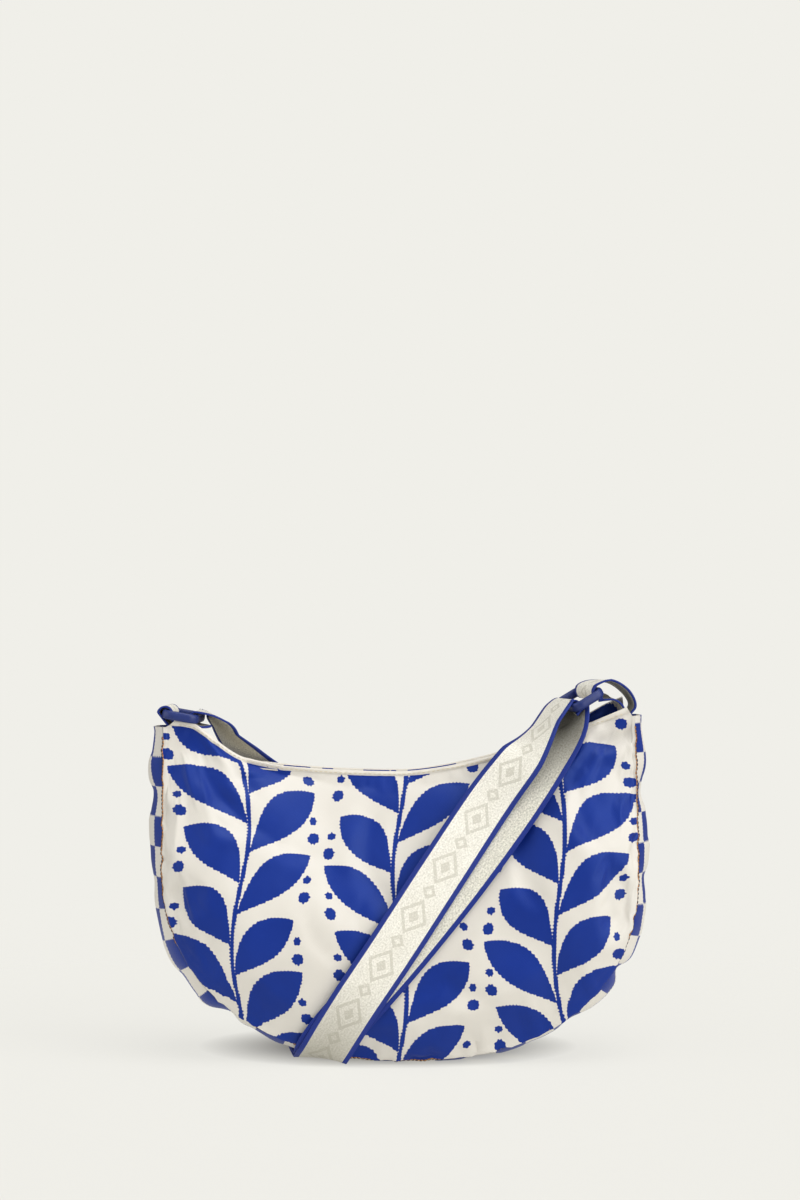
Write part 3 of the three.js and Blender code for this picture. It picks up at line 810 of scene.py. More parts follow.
def srgb(red, green, blue):
    linear = lambda c: c / 12.92 if c <= 0.04045 else ((c + 0.055) / 1.055) ** 2.4
    return (linear(red / 255), linear(green / 255), linear(blue / 255), 1.0)


# Finishes
BLUE = srgb(17, 47, 142)
DEEP_BLUE = srgb(10, 35, 116)
SEAM_SHADE = srgb(24, 22, 34)
SELVAGE = srgb(12, 40, 126)
CREAM = srgb(224, 219, 209)
DEEP_CREAM = srgb(212, 206, 195)
# The side of one square of the check
CHECK = 22.9


def sprig_mask(u, v, jag):
    """1 where blue: upright sprays of leaves on swaying stems, in half-drop columns, with berries."""
    column_pitch = 124 * MM
    leaf_pitch = 46 * MM
    sway = 5.5 * MM
    leaf_angle = math.radians(44)
    leaf_length = 75 * MM
    leaf_half = 15.6 * MM
    leaf_curl = 0.24
    leaf_gap = 0.75 * MM
    stem_half = 1.7 * MM
    blur = 0.12 * MM
    # From the stem, from the leaf's foot, radius
    berries = ((51, 15.5, 4.4), (50.5, 29, 3.0))
    column = (u / column_pitch + 0.5).floor()
    odd = column.remainder(2)
    up = v + odd * (1.25 * leaf_pitch)
    aside = u - column * column_pitch - sway * (up * (TAU / (4 * leaf_pitch))).sin()
    up = up + (aside > 0) * (leaf_pitch / 2)
    row = (up / leaf_pitch).floor()
    height = up - leaf_pitch * row
    reach = abs(aside)
    blue = reach * -1.0 + stem_half
    for below in (-1, 0, 1):
        third = (row - below).remainder(3)
        length = leaf_length * (0.86 + 0.07 * third)
        rise = height + below * leaf_pitch
        along = reach * math.cos(leaf_angle) + rise * math.sin(leaf_angle)
        share = (along / length).clamp()
        lift = rise * math.cos(leaf_angle) - reach * math.sin(leaf_angle)
        off = abs(lift + leaf_curl * length * share * (share - 1))
        half = leaf_half * ((share**1.3) * math.pi).sin().at_least(0.0) ** 0.8
        blue = blue.at_least(half - off - leaf_gap)
    for berry_reach, berry_height, radius in berries:
        away = ((reach - berry_reach * MM) ** 2 + (height - berry_height * MM) ** 2) ** 0.5
        blue = blue.at_least(radius * MM - away)
    return (blue + jag).over(-blur, blur)


def check_mask(u, v, jag):
    """Squares in turn blue and cream."""
    square = CHECK * MM
    count = ((u + jag) / square).floor() + ((v + jag) / square).floor()
    return count.remainder(2)


def satin_cloth(name, mask, groove=None):
    """Satin twill with a woven blue design; its outlines step from thread to thread.

    A groove paints shade on the cloth toward its two long edges, where it turns down into the seam. It
    gives the cloth's width, where the painted shade begins and ends from each edge, and the shade's
    colour.
    """
    finish = Finish(name, Specular_IOR_Level=0.42, Specular_Tint=srgb(170, 204, 255))
    vector, u, v, _ = finish.place("cloth")
    thread_step = TAU / (2.7 * MM)
    fine_twill = TAU / (1.1 * MM)
    jag = ((u * thread_step).sin() + (v * thread_step).sin()) * (0.3 * MM)
    blue = mask(u, v, jag)
    tone = finish.noise(vector, 22.0, 3.0)
    blue_tone = finish.blend(tone, DEEP_BLUE, BLUE)
    cream_tone = finish.blend(tone, DEEP_CREAM, CREAM)
    colour = finish.blend(blue, cream_tone, blue_tone)
    # Painted shade: the cloth darkens toward its two long edges, where they turn down into the seam
    if groove:
        width, begins, ends, shade = groove
        painted_seam_shade = (width / 2 - abs(v - width / 2)).over(begins, ends)
        colour = finish.blend(painted_seam_shade, colour, shade)
    finish.feed(Base_Color=colour)
    finish.feed(Roughness=0.5 - 0.12 * blue + 0.1 * tone)
    twill = ((u + v) * fine_twill).sin() * 0.5 + ((u - v) * thread_step).sin() * 0.25
    finish.bump(twill + blue * 1.2, 0.06 * MM, 0.6)
    return finish.material


def webbing_side(name, ground, bright, figured, metallic, roughness, painted_shade_place, painted_shade_colour):
    """One side of the webbing: a ribbed, glittering ground between blue selvages, figured or plain.

    It has painted shade round one place, given as x, y, z and reach in metres.
    """
    selvage_from = 15.3 * MM
    pitch = 44 * MM
    lozenge_along = 15 * MM
    lozenge_across = 11.5 * MM
    small_half = 6 * MM
    painted_shade_core = 0.2
    painted_shade_strength = 0.65
    finish = Finish(name, Specular_IOR_Level=0.45)
    vector, u, v, _ = finish.place("cloth")
    selvage = abs(v) > selvage_from
    spark = finish.noise(vector, 760.0, 1.0).over(0.28, 0.72)
    cloud = finish.noise(vector, 60.0)
    along = abs(u - pitch * (u / pitch + 0.5).floor())
    lozenge = along / lozenge_along + abs(v) / lozenge_across
    small = (pitch / 2 - along) / small_half + abs(v) / small_half
    frames = (lozenge < 1.0) * (lozenge > 0.74) + (small < 1.0) * (small > 0.45)
    figure = (frames + (lozenge < 0.36)) * figured
    shade = (spark * 0.8 + cloud * 0.3 - figure * 0.55).clamp()
    colour = finish.blend(shade, ground, bright)
    # Painted shade: the colour darkens toward one place
    _, *here = finish.place()
    *middle, reach = painted_shade_place
    away = sum((value - centre) ** 2 for value, centre in zip(here, middle)) ** 0.5
    colour = finish.blend(away.over(reach, painted_shade_core * reach) * painted_shade_strength, colour, painted_shade_colour)
    finish.feed(Base_Color=finish.blend(selvage, colour, SELVAGE))
    finish.feed(Metallic=metallic * (1 - selvage) * (1 - 0.7 * figure))
    finish.feed(Roughness=roughness + 0.16 * cloud + 0.2 * selvage + 0.12 * figure)
    ribs = (u * (TAU / (1.0 * MM))).sin() * 0.4 + (v * (TAU / (1.6 * MM))).sin() * 0.3
    finish.bump(ribs + spark * 1.2 + figure * 1.5, 0.08 * MM, 0.7)
    return finish.material


def clouded(name, colours, cloud, roughness, grain, **constants):
    """A finish that drifts between two colours, with a fine grain.

    The cloud is its noise's scale and detail, the roughness its least value and what the cloud
    adds, and the grain its noise's scale, its depth in millimetres and its strength.
    """
    finish = Finish(name, **constants)
    vector, *_ = finish.place()
    drift = finish.noise(vector, *cloud)
    finish.feed(Base_Color=finish.blend(drift, *colours))
    finish.feed(Roughness=roughness[0] + roughness[1] * drift)
    scale, depth, strength = grain
    finish.bump(finish.noise(vector, scale), depth * MM, strength)
    return finish.material


def zip_metal(name, *colours, roughness):
    return clouded(name, colours, (240.0, 3.0), (roughness, 0.18), (1500.0, 0.02, 0.4), Metallic=1.0)


def tape_weave():
    finish = Finish("tape_weave", Specular_IOR_Level=0.3)
    vector, u, v, _ = finish.place("cloth")
    herring = ((u + abs(v) * 1.4) * (TAU / (1.3 * MM))).sin()
    tone = (0.5 + 0.3 * herring + 0.4 * (finish.noise(vector, 300.0) - 0.5)).clamp()
    finish.feed(Base_Color=finish.blend(tone, srgb(198, 189, 168), srgb(226, 219, 202)))
    finish.feed(Roughness=0.8 - 0.1 * tone)
    finish.bump(herring, 0.06 * MM, 0.6)
    return finish.material


def thread(name, dark, bright):
    finish = Finish(name, Specular_IOR_Level=0.35, Sheen_Weight=0.1)
    _, x, y, z = finish.place()
    twist = ((x + y + z) * (TAU / (0.7 * MM))).sin()
    finish.feed(Base_Color=finish.blend((0.5 + 0.5 * twist).clamp(), dark, bright))
    finish.feed(Roughness=0.62 + 0.1 * twist)
    return finish.material


SPRIG_CLOTH = satin_cloth("sprig_cloth", sprig_mask)
# Painted shade on the gusset's checks by the seams: the cloth's width, where the shade begins and ends,
# and its colour
CHECK_PAINTED_SEAM_SHADE = (4 * CHECK * MM, 6.5 * MM, 0.45 * 6.5 * MM, SEAM_SHADE)
CHECK_CLOTH = satin_cloth("check_cloth", check_mask, CHECK_PAINTED_SEAM_SHADE)
# Where shade is painted on the webbing: x, y, z and reach in metres
SHADE_AT_BASE = (-0.062, -0.056, 0.0, 0.075)
SHADE_AT_RIGHT_RING = (0.135, -0.022, 0.258, 0.064)
WEB_FACE = webbing_side(
    "webbing_face",
    ground=srgb(204, 200, 187),
    bright=srgb(250, 247, 237),
    figured=1.0,
    metallic=0.14,
    roughness=0.42,
    painted_shade_place=SHADE_AT_BASE,
    painted_shade_colour=srgb(140, 136, 122),
)
WEB_REVERSE = webbing_side(
    "webbing_reverse",
    ground=srgb(170, 167, 155),
    bright=srgb(240, 237, 224),
    figured=0.0,
    metallic=0.08,
    roughness=0.55,
    painted_shade_place=SHADE_AT_RIGHT_RING,
    painted_shade_colour=srgb(88, 85, 74),
)
ENAMEL = clouded(
    "ring_enamel",
    (srgb(20, 36, 94), srgb(30, 50, 120)),
    cloud=(90.0, 2.0),
    roughness=(0.36, 0.16),
    grain=(900.0, 0.03, 0.4),
    Specular_IOR_Level=0.4,
    Coat_Weight=0.15,
    Coat_Roughness=0.25,
)
ZIP_BRASS = zip_metal("zip_brass", srgb(120, 100, 60), srgb(206, 182, 128), roughness=0.26)
ZIP_DARK = zip_metal("zip_teeth_metal", srgb(60, 54, 46), srgb(132, 120, 100), roughness=0.3)
TAPE = tape_weave()
SEAM_THREAD = thread("seam_thread", srgb(158, 104, 56), srgb(204, 150, 92))
# A dark cord that stands in for the shadow line along the seams
SEAM_SHADOW_CORD = thread("seam_cord_thread", srgb(13, 16, 40), srgb(22, 28, 64))
HEM_THREAD = thread("hem_thread", srgb(190, 176, 146), srgb(220, 209, 184))
BINDING_CLOTH = clouded(
    "binding_cloth",
    (DEEP_CREAM, CREAM),
    cloud=(40.0, 2.0),
    roughness=(0.5, 0.12),
    grain=(1400.0, 0.04, 0.5),
    Specular_IOR_Level=0.3,
)


def dress(piece, slot, *nodes):
    """Rides on the one body and stands for its solids. The slot is not used."""
    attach(piece, "root")
    if nodes:
        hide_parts(*nodes)


# The cloth of the bag
PANEL_GRID = (171, 91)
GUSSET_GRID = (361, 41)
FILL_FRAMES = 22
# How far the filling may push a panel in and out, and slide it along itself
FILL_PUSH = (-5.0, 3.2)
FILL_SLIDE = 2.5
# How far a panel may stand out from its solid's face
STAND_OUT = {"open": 3.6, "under_strap": 0.2}
# How deep the creases are, how far they bend, and each one's ridge: height, place in half widths
CREASE_DEPTH = 1.4
CREASE_BEND = 0.12
CREASE_RIDGE = 0.45
CREASE_RIDGE_AT = 1.7
# The share of its length that a crease keeps whole on each side of its middle, and fades over
CREASE_WHOLE = 0.3
# Small uneven waves on the panels: size, pitch in x and in z, and place in the noise
PANEL_CRUMPLES = [(1.6, 42, 58, 3.1), (0.5, 17, 26, 8.7)]
# How far from a panel's edges the creases and waves begin, as a share of its height
EDGE_FADE = 0.1
# The hem: its depth, its lift and where that fades, its stitched groove and the groove's half width
HEM_DROP = 4.4
HEM_LIFT = 0.35
HEM_FADE = 1.2
HEM_GROOVE = 0.45
HEM_GROOVE_HALF = 0.9
# How far the back's top edge stands up by the right horn, between two places in x, and its reach down
BACK_RISE = 7.0
BACK_RISE_FROM = (118, 165)
BACK_RISE_REACH = 0.3
# How far the front's top edge stands up by the left horn: x, rise; and its reach down
FRONT_RISE = [
    (-173.5, 0.5),
    (-166, 2.4),
    (-157, 4.6),
    (-142, 4.6),
    (-128, 4.2),
    (-116, 3),
    (-100, 0.6),
    (-90, 0),
]
FRONT_RISE_REACH = 0.35
# How far a panel's edge stands out past the seam, and how far the gusset's edge tucks in under it
SEAM_OVERHANG = 2.0
OVERHANG_FROM = 0.975
SEAM_TUCK = {"base": 3.5, "horn": 0.6}
SEAM_TUCK_POWER = 14
# Where the gusset's fuller sides begin and end, as shares of the seam's length from each horn
GUSSET_SIDE_FROM = (0.02, 0.08)
GUSSET_SIDE_TO = (0.17, 0.25)
# The gusset's crumples: scale along it, size and place in the noise
GUSSET_CRUMPLES = [(0.035, 1.5, 3.7), (0.016, 0.8, 9.1)]
# How far the gusset's squares stand in and out in turn, and how steeply they change
SQUARE_STEP = 0.9
SQUARE_STEEPNESS = 2.2
# The seam's ripple: size, waves along the seam and phase
SEAM_RIPPLES = [(0.55, 41, 1.3), (0.45, 67, 4.0)]
# Where down a panel the ripple begins, and the ripple's size and range from front to back
PUCKER_FROM = 0.8
SIDE_PUCKER = 1.1
SIDE_PUCKER_FROM = (0.78, 0.97)
# The least height of the cloth over the floor
CLOTH_FLOOR = 0.4


def seam_wobble(share):
    """How the gathers push the seam in and out along its run."""
    ripple = sum(size * np.sin(TAU * share * waves + phase) for size, waves, phase in SEAM_RIPPLES)
    strength = 0.35 + 0.65 * np.sin(TAU * share * 5.3 + 0.6) ** 2
    return ripple * strength * smooth(np.minimum(share, 1 - share), 0, 0.03)


def panel_grid(side, dents, columns, rows):
    share = np.linspace(0, 1, columns)[:, None]
    even = np.linspace(0, 1, rows)[None, :]
    down = mix(even, 0.5 - 0.5 * np.cos(math.pi * even), 0.7)
    share, down = np.broadcast_arrays(share, down)
    place = panel_place(share, down)
    depth = panel_depth(share, down, dents)
    return share, down, np.stack([place[..., 0], side * depth, place[..., 1]], -1)


def filled_cloth(name, grid, side):
    """Cloth simulation: the panel is held along its edges and swells under the soft filling."""
    columns, rows = grid.shape[:2]
    index = np.arange(columns * rows).reshape(columns, rows)
    quads = grid_quads(index)
    if side == BACK:
        quads = quads[:, ::-1]
    piece = new_piece(name, grid.reshape(-1, 3), quads.tolist(), [])
    pins = piece.vertex_groups.new(name="held")
    edge = np.concatenate([index[0], index[-1], index[:, 0], index[:, -1], index[:, 1]])
    pins.add([int(i) for i in np.unique(edge)], 1.0, "REPLACE")
    cloth = piece.modifiers.new("filled", "CLOTH")
    settings = cloth.settings
    settings.quality = 5
    settings.mass = 0.2
    settings.tension_stiffness = 12
    settings.compression_stiffness = 12
    settings.shear_stiffness = 6
    settings.bending_stiffness = 0.6
    settings.shrink_min = -0.014
    settings.use_pressure = True
    settings.uniform_pressure_force = 1.0
    settings.effector_weights.gravity = 0
    settings.vertex_group_mass = "held"
    cloth.collision_settings.use_collision = False
    cloth.point_cache.frame_start = 1
    cloth.point_cache.frame_end = FILL_FRAMES
    for step in range(1, FILL_FRAMES + 1):
        scene.frame_set(step)
    shape = piece.evaluated_get(bpy.context.evaluated_depsgraph_get()).data
    moved = np.empty(columns * rows * 3)
    shape.vertices.foreach_get("co", moved)
    scene.frame_set(1)
    bpy.data.objects.remove(piece)
    return moved.reshape(grid.shape) / MM


def from_segment(grid, ax, az, bx, bz):
    """How far along a segment each point of a panel lies, the way to it from the start, and the run."""
    run = np.array([bx - ax, bz - az], float)
    to = np.stack([grid[..., 0] - ax, grid[..., 2] - az], -1)
    return (to @ run) / run.dot(run), to, run


def crease_depth(grid, creases):
    """How far the soft creases press a panel in, each with a ridge beside it and fading at its ends."""
    deep = np.zeros(grid.shape[:2])
    for *ends, half_width, depth in creases:
        t, to, run = from_segment(grid, *ends)
        length = np.linalg.norm(run)
        bend = CREASE_BEND * np.sin(math.pi * np.clip(t, 0, 1)) * length
        aside = (to[..., 0] * run[1] - to[..., 1] * run[0]) / length - bend
        past = np.maximum(np.abs(t - 0.5) - CREASE_WHOLE, 0)
        fade = np.exp(-((past / CREASE_WHOLE) ** 2))
        valley = np.exp(-((aside / half_width) ** 2))
        ridge_aside = aside - CREASE_RIDGE_AT * half_width
        ridge = CREASE_RIDGE * np.exp(-((ridge_aside / half_width) ** 2))
        deep += CREASE_DEPTH * depth * fade * (valley - ridge)
    return deep


def noise_at(x, y, z):
    """Noise at each point of a grid."""
    points = np.stack(np.broadcast_arrays(x, y, z), -1)
    return np.apply_along_axis(lambda point: noise.noise(Vector(point)), -1, points)


def crumpled(grid, side):
    """Small uneven waves over the whole panel."""
    x, _, z = np.moveaxis(grid, -1, 0)
    return sum(size * noise_at(x / a, z / b, seed * side) for size, a, b, seed in PANEL_CRUMPLES)


def near_strap(grid, side):
    """1 under the strap's run on a panel, fading to 0 beside it."""
    fade = (22, 34)
    if side == FRONT:
        outer = [(x, z) for x, z, *_ in STRAP_ON_FRONT]
        under = [(x + 14, z - 8) for x, z in outer[:3]]
        paths = [
            [(108, 252), (93, 233), *outer, (-56, 12)],
            [(131, 256), (108, 224), *under],
        ]
    else:
        rows = [*STRAP_ON_BACK, *STRAP_PAST_SLIDE]
        paths = [[(-73, 10), *[(x, z) for x, z, _ in rows], (-124, 229)]]
    away = np.full(grid.shape[:2], np.inf)
    for path in paths:
        for a, b in zip(path, path[1:]):
            t, to, run = from_segment(grid, *a, *b)
            t = np.clip(t, 0, 1)
            away = np.minimum(away, np.linalg.norm(to - t[..., None] * run, axis=-1))
    return 1 - smooth(away, *fade)


def panel(name, side, dents, creases):
    """One panel of the bag, filled, creased and hemmed. Gives its outer face's grid and normals."""
    share, down, base = panel_grid(side, dents, *PANEL_GRID)
    normal = grid_normals(base)
    normal *= np.sign(normal[..., 1:2]) * side
    under = near_strap(base, side)
    from_edge = smooth(np.minimum(down, 1 - down), 0, EDGE_FADE)
    away = (crumpled(base, side) - crease_depth(base, creases)) * from_edge
    slide = np.zeros_like(base)
    moved = filled_cloth(name + "_filled", base, side) - base
    swollen = (moved * normal).sum(-1)
    slide = moved - swollen[..., None] * normal
    slid = np.linalg.norm(slide, axis=-1, keepdims=True)
    slide *= np.minimum(1, FILL_SLIDE / np.maximum(slid, 1e-6))
    away += np.clip(swollen, *FILL_PUSH)
    away = np.minimum(away, mix(STAND_OUT["open"], STAND_OUT["under_strap"], under))
    outer = base + normal * away[..., None] + slide
    outward = seam_outward(share)
    pucker = seam_wobble(share) * smooth(down, PUCKER_FROM, 1)
    pucker += SEAM_OVERHANG * smooth(down, OVERHANG_FROM, 1)
    outer[..., 0] += outward[..., 0] * pucker
    outer[..., 2] = np.maximum(outer[..., 2] + outward[..., 1] * pucker, CLOTH_FLOOR)
    side_wobble = SIDE_PUCKER * seam_wobble(share * 1.37 + 0.01)
    outer[..., 1] += side * side_wobble * smooth(down, *SIDE_PUCKER_FROM)
    if side == BACK:
        rise = BACK_RISE * smooth(base[..., 0], *BACK_RISE_FROM)
        reach = BACK_RISE_REACH
    else:
        rise = np.interp(base[..., 0], *zip(*FRONT_RISE))
        reach = FRONT_RISE_REACH
    outer[..., 2] += rise * (1 - smooth(down, 0, reach))
    fall = np.linalg.norm(base - base[:, :1], axis=-1)
    lift = HEM_LIFT * (1 - smooth(fall, HEM_DROP, HEM_DROP + HEM_FADE))
    groove = HEM_GROOVE * np.exp(-(((fall - HEM_DROP) / HEM_GROOVE_HALF) ** 2))
    outer += normal * (lift - groove)[..., None]
    inner = outer - normal * CLOTH
    piece = wall_piece(name + "_cloth", outer, inner, panel_uv(base, side), SPRIG_CLOTH)
    dress(piece, "printed_cloth", name)
    return outer, normal


def panel_uv(base, side):
    """The panel seen flat, let out along each column by what its swell takes up."""
    flat = base[..., [0, 2]]
    step = np.diff(base, axis=1)
    longer = np.linalg.norm(step, axis=-1) - np.hypot(step[..., 0], step[..., 2])
    let_out = np.concatenate([np.zeros((len(base), 1)), np.cumsum(longer, 1)], 1)
    uv = flat + unit(flat[:, -1:] - flat[:, :1]) * let_out[..., None]
    return uv * np.array([-side, 1])


def gusset_grid(columns, rows):
    """The gusset's outer face and its cloth's UV, rows from the front seam to the back one."""
    along = np.linspace(0, 1, columns)[:, None]
    share, across = np.broadcast_arrays(along, np.linspace(-1, 1, rows)[None, :])
    seam = seam_point(share)
    outward = seam_outward(share)
    half = gusset_half(share) - CLOTH - SEAM_GAP
    to_horn = np.minimum(share, 1 - share)
    on_side = smooth(to_horn, *GUSSET_SIDE_FROM) * (1 - smooth(to_horn, *GUSSET_SIDE_TO))
    crown = 1 - np.abs(across) ** mix(GUSSET_FULLNESS["base"], GUSSET_FULLNESS["side"], on_side)
    crumple = np.zeros_like(share)
    for scale, size, seed in GUSSET_CRUMPLES:
        crumple += size * noise_at(share * SEAM_LENGTH * scale, across * 1.2 + seed, seed)
    square = np.sin(math.pi * share * SEAM_LENGTH / CHECK)
    uneven = 0.5 + 0.5 * np.sin(share * 23.0 + 0.8)
    crumple -= SQUARE_STEP * uneven * np.clip(SQUARE_STEEPNESS * square, -1, 1)
    stand = (swell_at(share) + crumple) * crown + seam_wobble(share) * np.abs(across) ** 4
    tuck = mix(SEAM_TUCK["horn"], SEAM_TUCK["base"], from_horn(share))
    stand -= tuck * np.abs(across) ** SEAM_TUCK_POWER
    x = seam[..., 0] + outward[..., 0] * stand
    y = across * half
    z = seam[..., 1] + outward[..., 1] * stand
    z = np.maximum(z, floor_height(x, y))
    uv = np.stack([share * SEAM_LENGTH, (across + 1) * 2 * CHECK], -1)
    return np.stack([x, y, z], -1), uv


def gusset():
    outer, uv = gusset_grid(*GUSSET_GRID)
    normal = grid_normals(outer)
    centre = np.array([0, 0, SEAM_WAIST])
    normal *= np.sign((normal * (outer - centre)).sum(-1, keepdims=True))
    piece = wall_piece("gusset_cloth", outer, outer - normal * CLOTH, uv, CHECK_CLOTH)
    dress(piece, "checked_cloth", "gusset")


# Rings


def ring_piece(name, ring):
    along, across, normal, tab_bar, strap_bar = ring_frame(ring)
    centre = (tab_bar + strap_bar) / 2
    straight_along = RING_LONG_HALF - RING_CORNER
    straight_across = RING_SPACING / 2 - RING_CORNER
    corner_steps = 12
    sides = 20
    squareness = 0.72
    points = []
    for corner in range(4):
        sign_along = 1 if corner in (0, 3) else -1
        sign_across = 1 if corner < 2 else -1
        for i in range(corner_steps + 1):
            angle = math.pi / 2 * (corner + i / corner_steps)
            outward = along * math.cos(angle) + across * math.sin(angle)
            spine = centre + along * sign_along * straight_along + across * sign_across * straight_across
            spine = spine + outward * RING_CORNER
            for k in range(sides):
                turn = TAU * (k + 0.5) / sides
                c, s = math.cos(turn), math.sin(turn)
                wide = math.copysign(abs(c) ** squareness, c) * RING_BAR["in_plane"] / 2
                high = math.copysign(abs(s) ** squareness, s) * RING_BAR["across"] / 2
                points.append(spine + outward * wide + normal * high)
    faces = loft_faces(sides, 4 * (corner_steps + 1), closes=True)
    piece = outwards(new_piece(name + "_bar", points, faces, [ENAMEL], sharp=60))
    dress(piece, "ring_enamel", name)


# The cloth, rings, strap and tabs in their places
front_outer, front_normal = panel("front_panel", FRONT, FRONT_DENTS, FRONT_CREASES)
back_outer, back_normal = panel("back_panel", BACK, BACK_DENTS, BACK_CREASES)
gusset()
ring_piece("ring_left", RING_LEFT)
ring_piece("ring_right", RING_RIGHT)

strap_frames = webbing_frames(strap_stations(), steps_between=8)
strap = webbing_piece("strap_webbing", strap_frames, [WEB_FACE, WEB_REVERSE])
dress(strap, "webbing", "strap")
strap_frames[-1][3] * MM
left_tab, right_tab = tab_stations()
for name, stations in (("tab_left", left_tab), ("tab_right", right_tab)):
    tab_frames = webbing_frames(stations, steps_between=6)
    tab = webbing_piece(name + "_webbing", tab_frames, [WEB_FACE, WEB_REVERSE])
    dress(tab, "webbing", name)


# Stitches, zip and slide


def stitch_growth(name, material, length, gap, thickness):
    """Rounded stitches in a row along a path."""
    growth = Growth(name, Stitch=length * MM, Gap=gap * MM, Thickness=thickness * MM)
    stitch = growth.given("Stitch")
    thick = growth.given("Thickness")
    points, turn = growth.along_path(stitch + growth.given("Gap"))
    ball = growth.node("GeometryNodeMeshIcoSphere", None, {"Radius": 0.5, "Subdivisions": 2})
    scale = growth.node("ShaderNodeCombineXYZ", None, {"X": stitch, "Y": thick, "Z": thick})
    shape = growth.node("GeometryNodeTransform", None, {"Geometry": ball, "Scale": scale})
    growth.scattered(points, shape, turn, material)
    return growth


def tooth_growth(material):
    """Zip teeth: rounded bars across the chain, in turn from the front and the back tape."""
    sizes = {"Pitch": 1.7, "Along": 1.25, "Across": 3.4, "Height": 2.2, "Shift": 0.75}
    growth = Growth("zip_teeth", **{label: size * MM for label, size in sizes.items()})
    points, turn = growth.along_path(growth.given("Pitch"))
    side = growth.node("GeometryNodeInputIndex").remainder(2) * 2 - 1
    offset = growth.node("ShaderNodeCombineXYZ", None, {"Y": side * growth.given("Shift")})
    placed = growth.node("GeometryNodeSetPosition", None, {"Geometry": points, "Offset": offset})
    sockets = {"X": growth.given("Along"), "Y": growth.given("Across"), "Z": growth.given("Height")}
    size = growth.node("ShaderNodeCombineXYZ", None, sockets)
    cube = growth.node("GeometryNodeMeshCube", None, {"Size": size})
    sockets = {"Mesh": cube, "Level": 2, "Edge Crease": 0.55, "Vertex Crease": 0.3}
    rounded = growth.node("GeometryNodeSubdivisionSurface", None, sockets)
    growth.scattered(placed, rounded, turn, material)
    return growth


# Rows of the solid panels: the zip's tapes are sewn on the slope of the first one
SOLID_ROWS = 13
TAPE_STEPS = 110
# How far a tape reaches under the teeth, and how far its left end tucks in from the panel
TAPE_UNDER_TEETH = 0.6
TAPE_END_TUCK = 1.8
TAPE_END_SHARE = 0.16


def zip_place(share):
    """A place on the zip, with the ways up and along there."""
    step = 0.004
    here = mouth_point(share)
    run = unit(mouth_point(share + step) - mouth_point(share - step))
    up = np.array([-run[1], 0, run[0]])
    return np.array([here[0], 0, here[1]]) - up * ZIP_DROP, up, np.array([run[0], 0, run[1]])


def zip_seat(share, dents):
    """How far a panel's inner face stands from the middle plane where the zip tape meets it."""
    first = 0.5 - 0.5 * math.cos(math.pi / SOLID_ROWS)
    edge = float(panel_depth(share, 0.0, dents))
    drop = np.linalg.norm(mouth_point(share) - panel_place(share, first))
    slope = (float(panel_depth(share, first, dents)) - edge) / drop
    return edge + slope * (ZIP_DROP - ZIP_TAPE / 2) - CLOTH * math.hypot(1, slope)


def zip_tape(name, side, dents):
    points = []
    uv = []
    length = 0.0
    near = ZIP_CHAIN_WIDTH / 2 - TAPE_UNDER_TEETH
    for i in range(TAPE_STEPS + 1):
        t = i / TAPE_STEPS
        share = mix(*ZIP_SPAN, t)
        place, up, _ = zip_place(share)
        if i:
            length += np.linalg.norm(place - last)
        last = place
        tuck = TAPE_END_TUCK * (1 - smooth(t, 0, TAPE_END_SHARE))
        far = zip_seat(share, dents) - 2 * SEAM_GAP - tuck
        for y, height in ((near, -0.5), (far, -0.5), (far, 0.5), (near, 0.5)):
            points.append(place + up * height * ZIP_TAPE + np.array([0, side * y, 0]))
            uv.append((length, side * y))
    faces = loft_faces(4, TAPE_STEPS + 1)
    piece = outwards(new_piece(name + "_weave", points, faces, [TAPE], uv=uv))
    dress(piece, "zip_tape", name)


def zip_chain():
    path = [zip_place(share)[0] for share in np.linspace(*ZIP_SPAN, 160)]
    dress(tooth_growth(ZIP_DARK).grow("zip_teeth", path), "zip_metal", "zip_chain")


def plate(outline_holes, thickness, bevel, place, axes, name, material):
    """A flat plate with holes and softened edges, set at a place on its own axes."""
    work = bmesh.new()
    edges = []
    for outline in outline_holes:
        corners = [work.verts.new((x * MM, y * MM, 0)) for x, y in outline]
        for a, b in zip(corners, corners[1:] + corners[:1]):
            edges.append(work.edges.new((a, b)))
    bmesh.ops.triangle_fill(work, edges=edges, use_beauty=True, use_dissolve=True)
    mesh = bpy.data.meshes.new(name)
    work.to_mesh(mesh)
    work.free()
    shape = in_scene(name, mesh)
    solid = shape.modifiers.new("solid", "SOLIDIFY")
    solid.thickness = thickness * MM
    solid.offset = 0
    soften = shape.modifiers.new("soften", "BEVEL")
    soften.width = bevel * MM
    soften.segments = 3
    soften.limit_method = "ANGLE"
    ready = shape.evaluated_get(bpy.context.evaluated_depsgraph_get())
    done = bpy.data.meshes.new_from_object(ready)
    bpy.data.objects.remove(shape)
    local = np.empty(len(done.vertices) * 3)
    done.vertices.foreach_get("co", local)
    points = np.asarray(place) + (local.reshape(-1, 3) / MM) @ np.asarray(axes)
    faces = [tuple(f.vertices) for f in done.polygons]
    return outwards(new_piece(name, points, faces, [material], sharp=35))


def rectangle(x0, y0, x1, y1):
    return [(x0, y0), (x1, y0), (x1, y1), (x0, y1)]


def stadium(x0, x1, half):
    turn = np.linspace(0, math.pi, 8)
    right = [(x1 - half + half * math.sin(a), -half * math.cos(a)) for a in turn]
    left = [(x0 + half - half * math.sin(a), half * math.cos(a)) for a in turn]
    return right + left


def joined(name, parts):
    """Several meshes as one piece."""
    work = bmesh.new()
    for part in parts:
        work.from_mesh(part.data)
    mesh = parts[0].data.copy()
    work.to_mesh(mesh)
    work.free()
    for part in parts:
        bpy.data.objects.remove(part)
    mesh.name = name
    return in_scene(name, mesh)


SLIDER_WINGS = [(-5, -2.6), (-2, -3.5), (3, -3.5), (6, -1.6), (6, 1.6), (3, 3.5), (-2, 3.5), (-5, 2.6)]
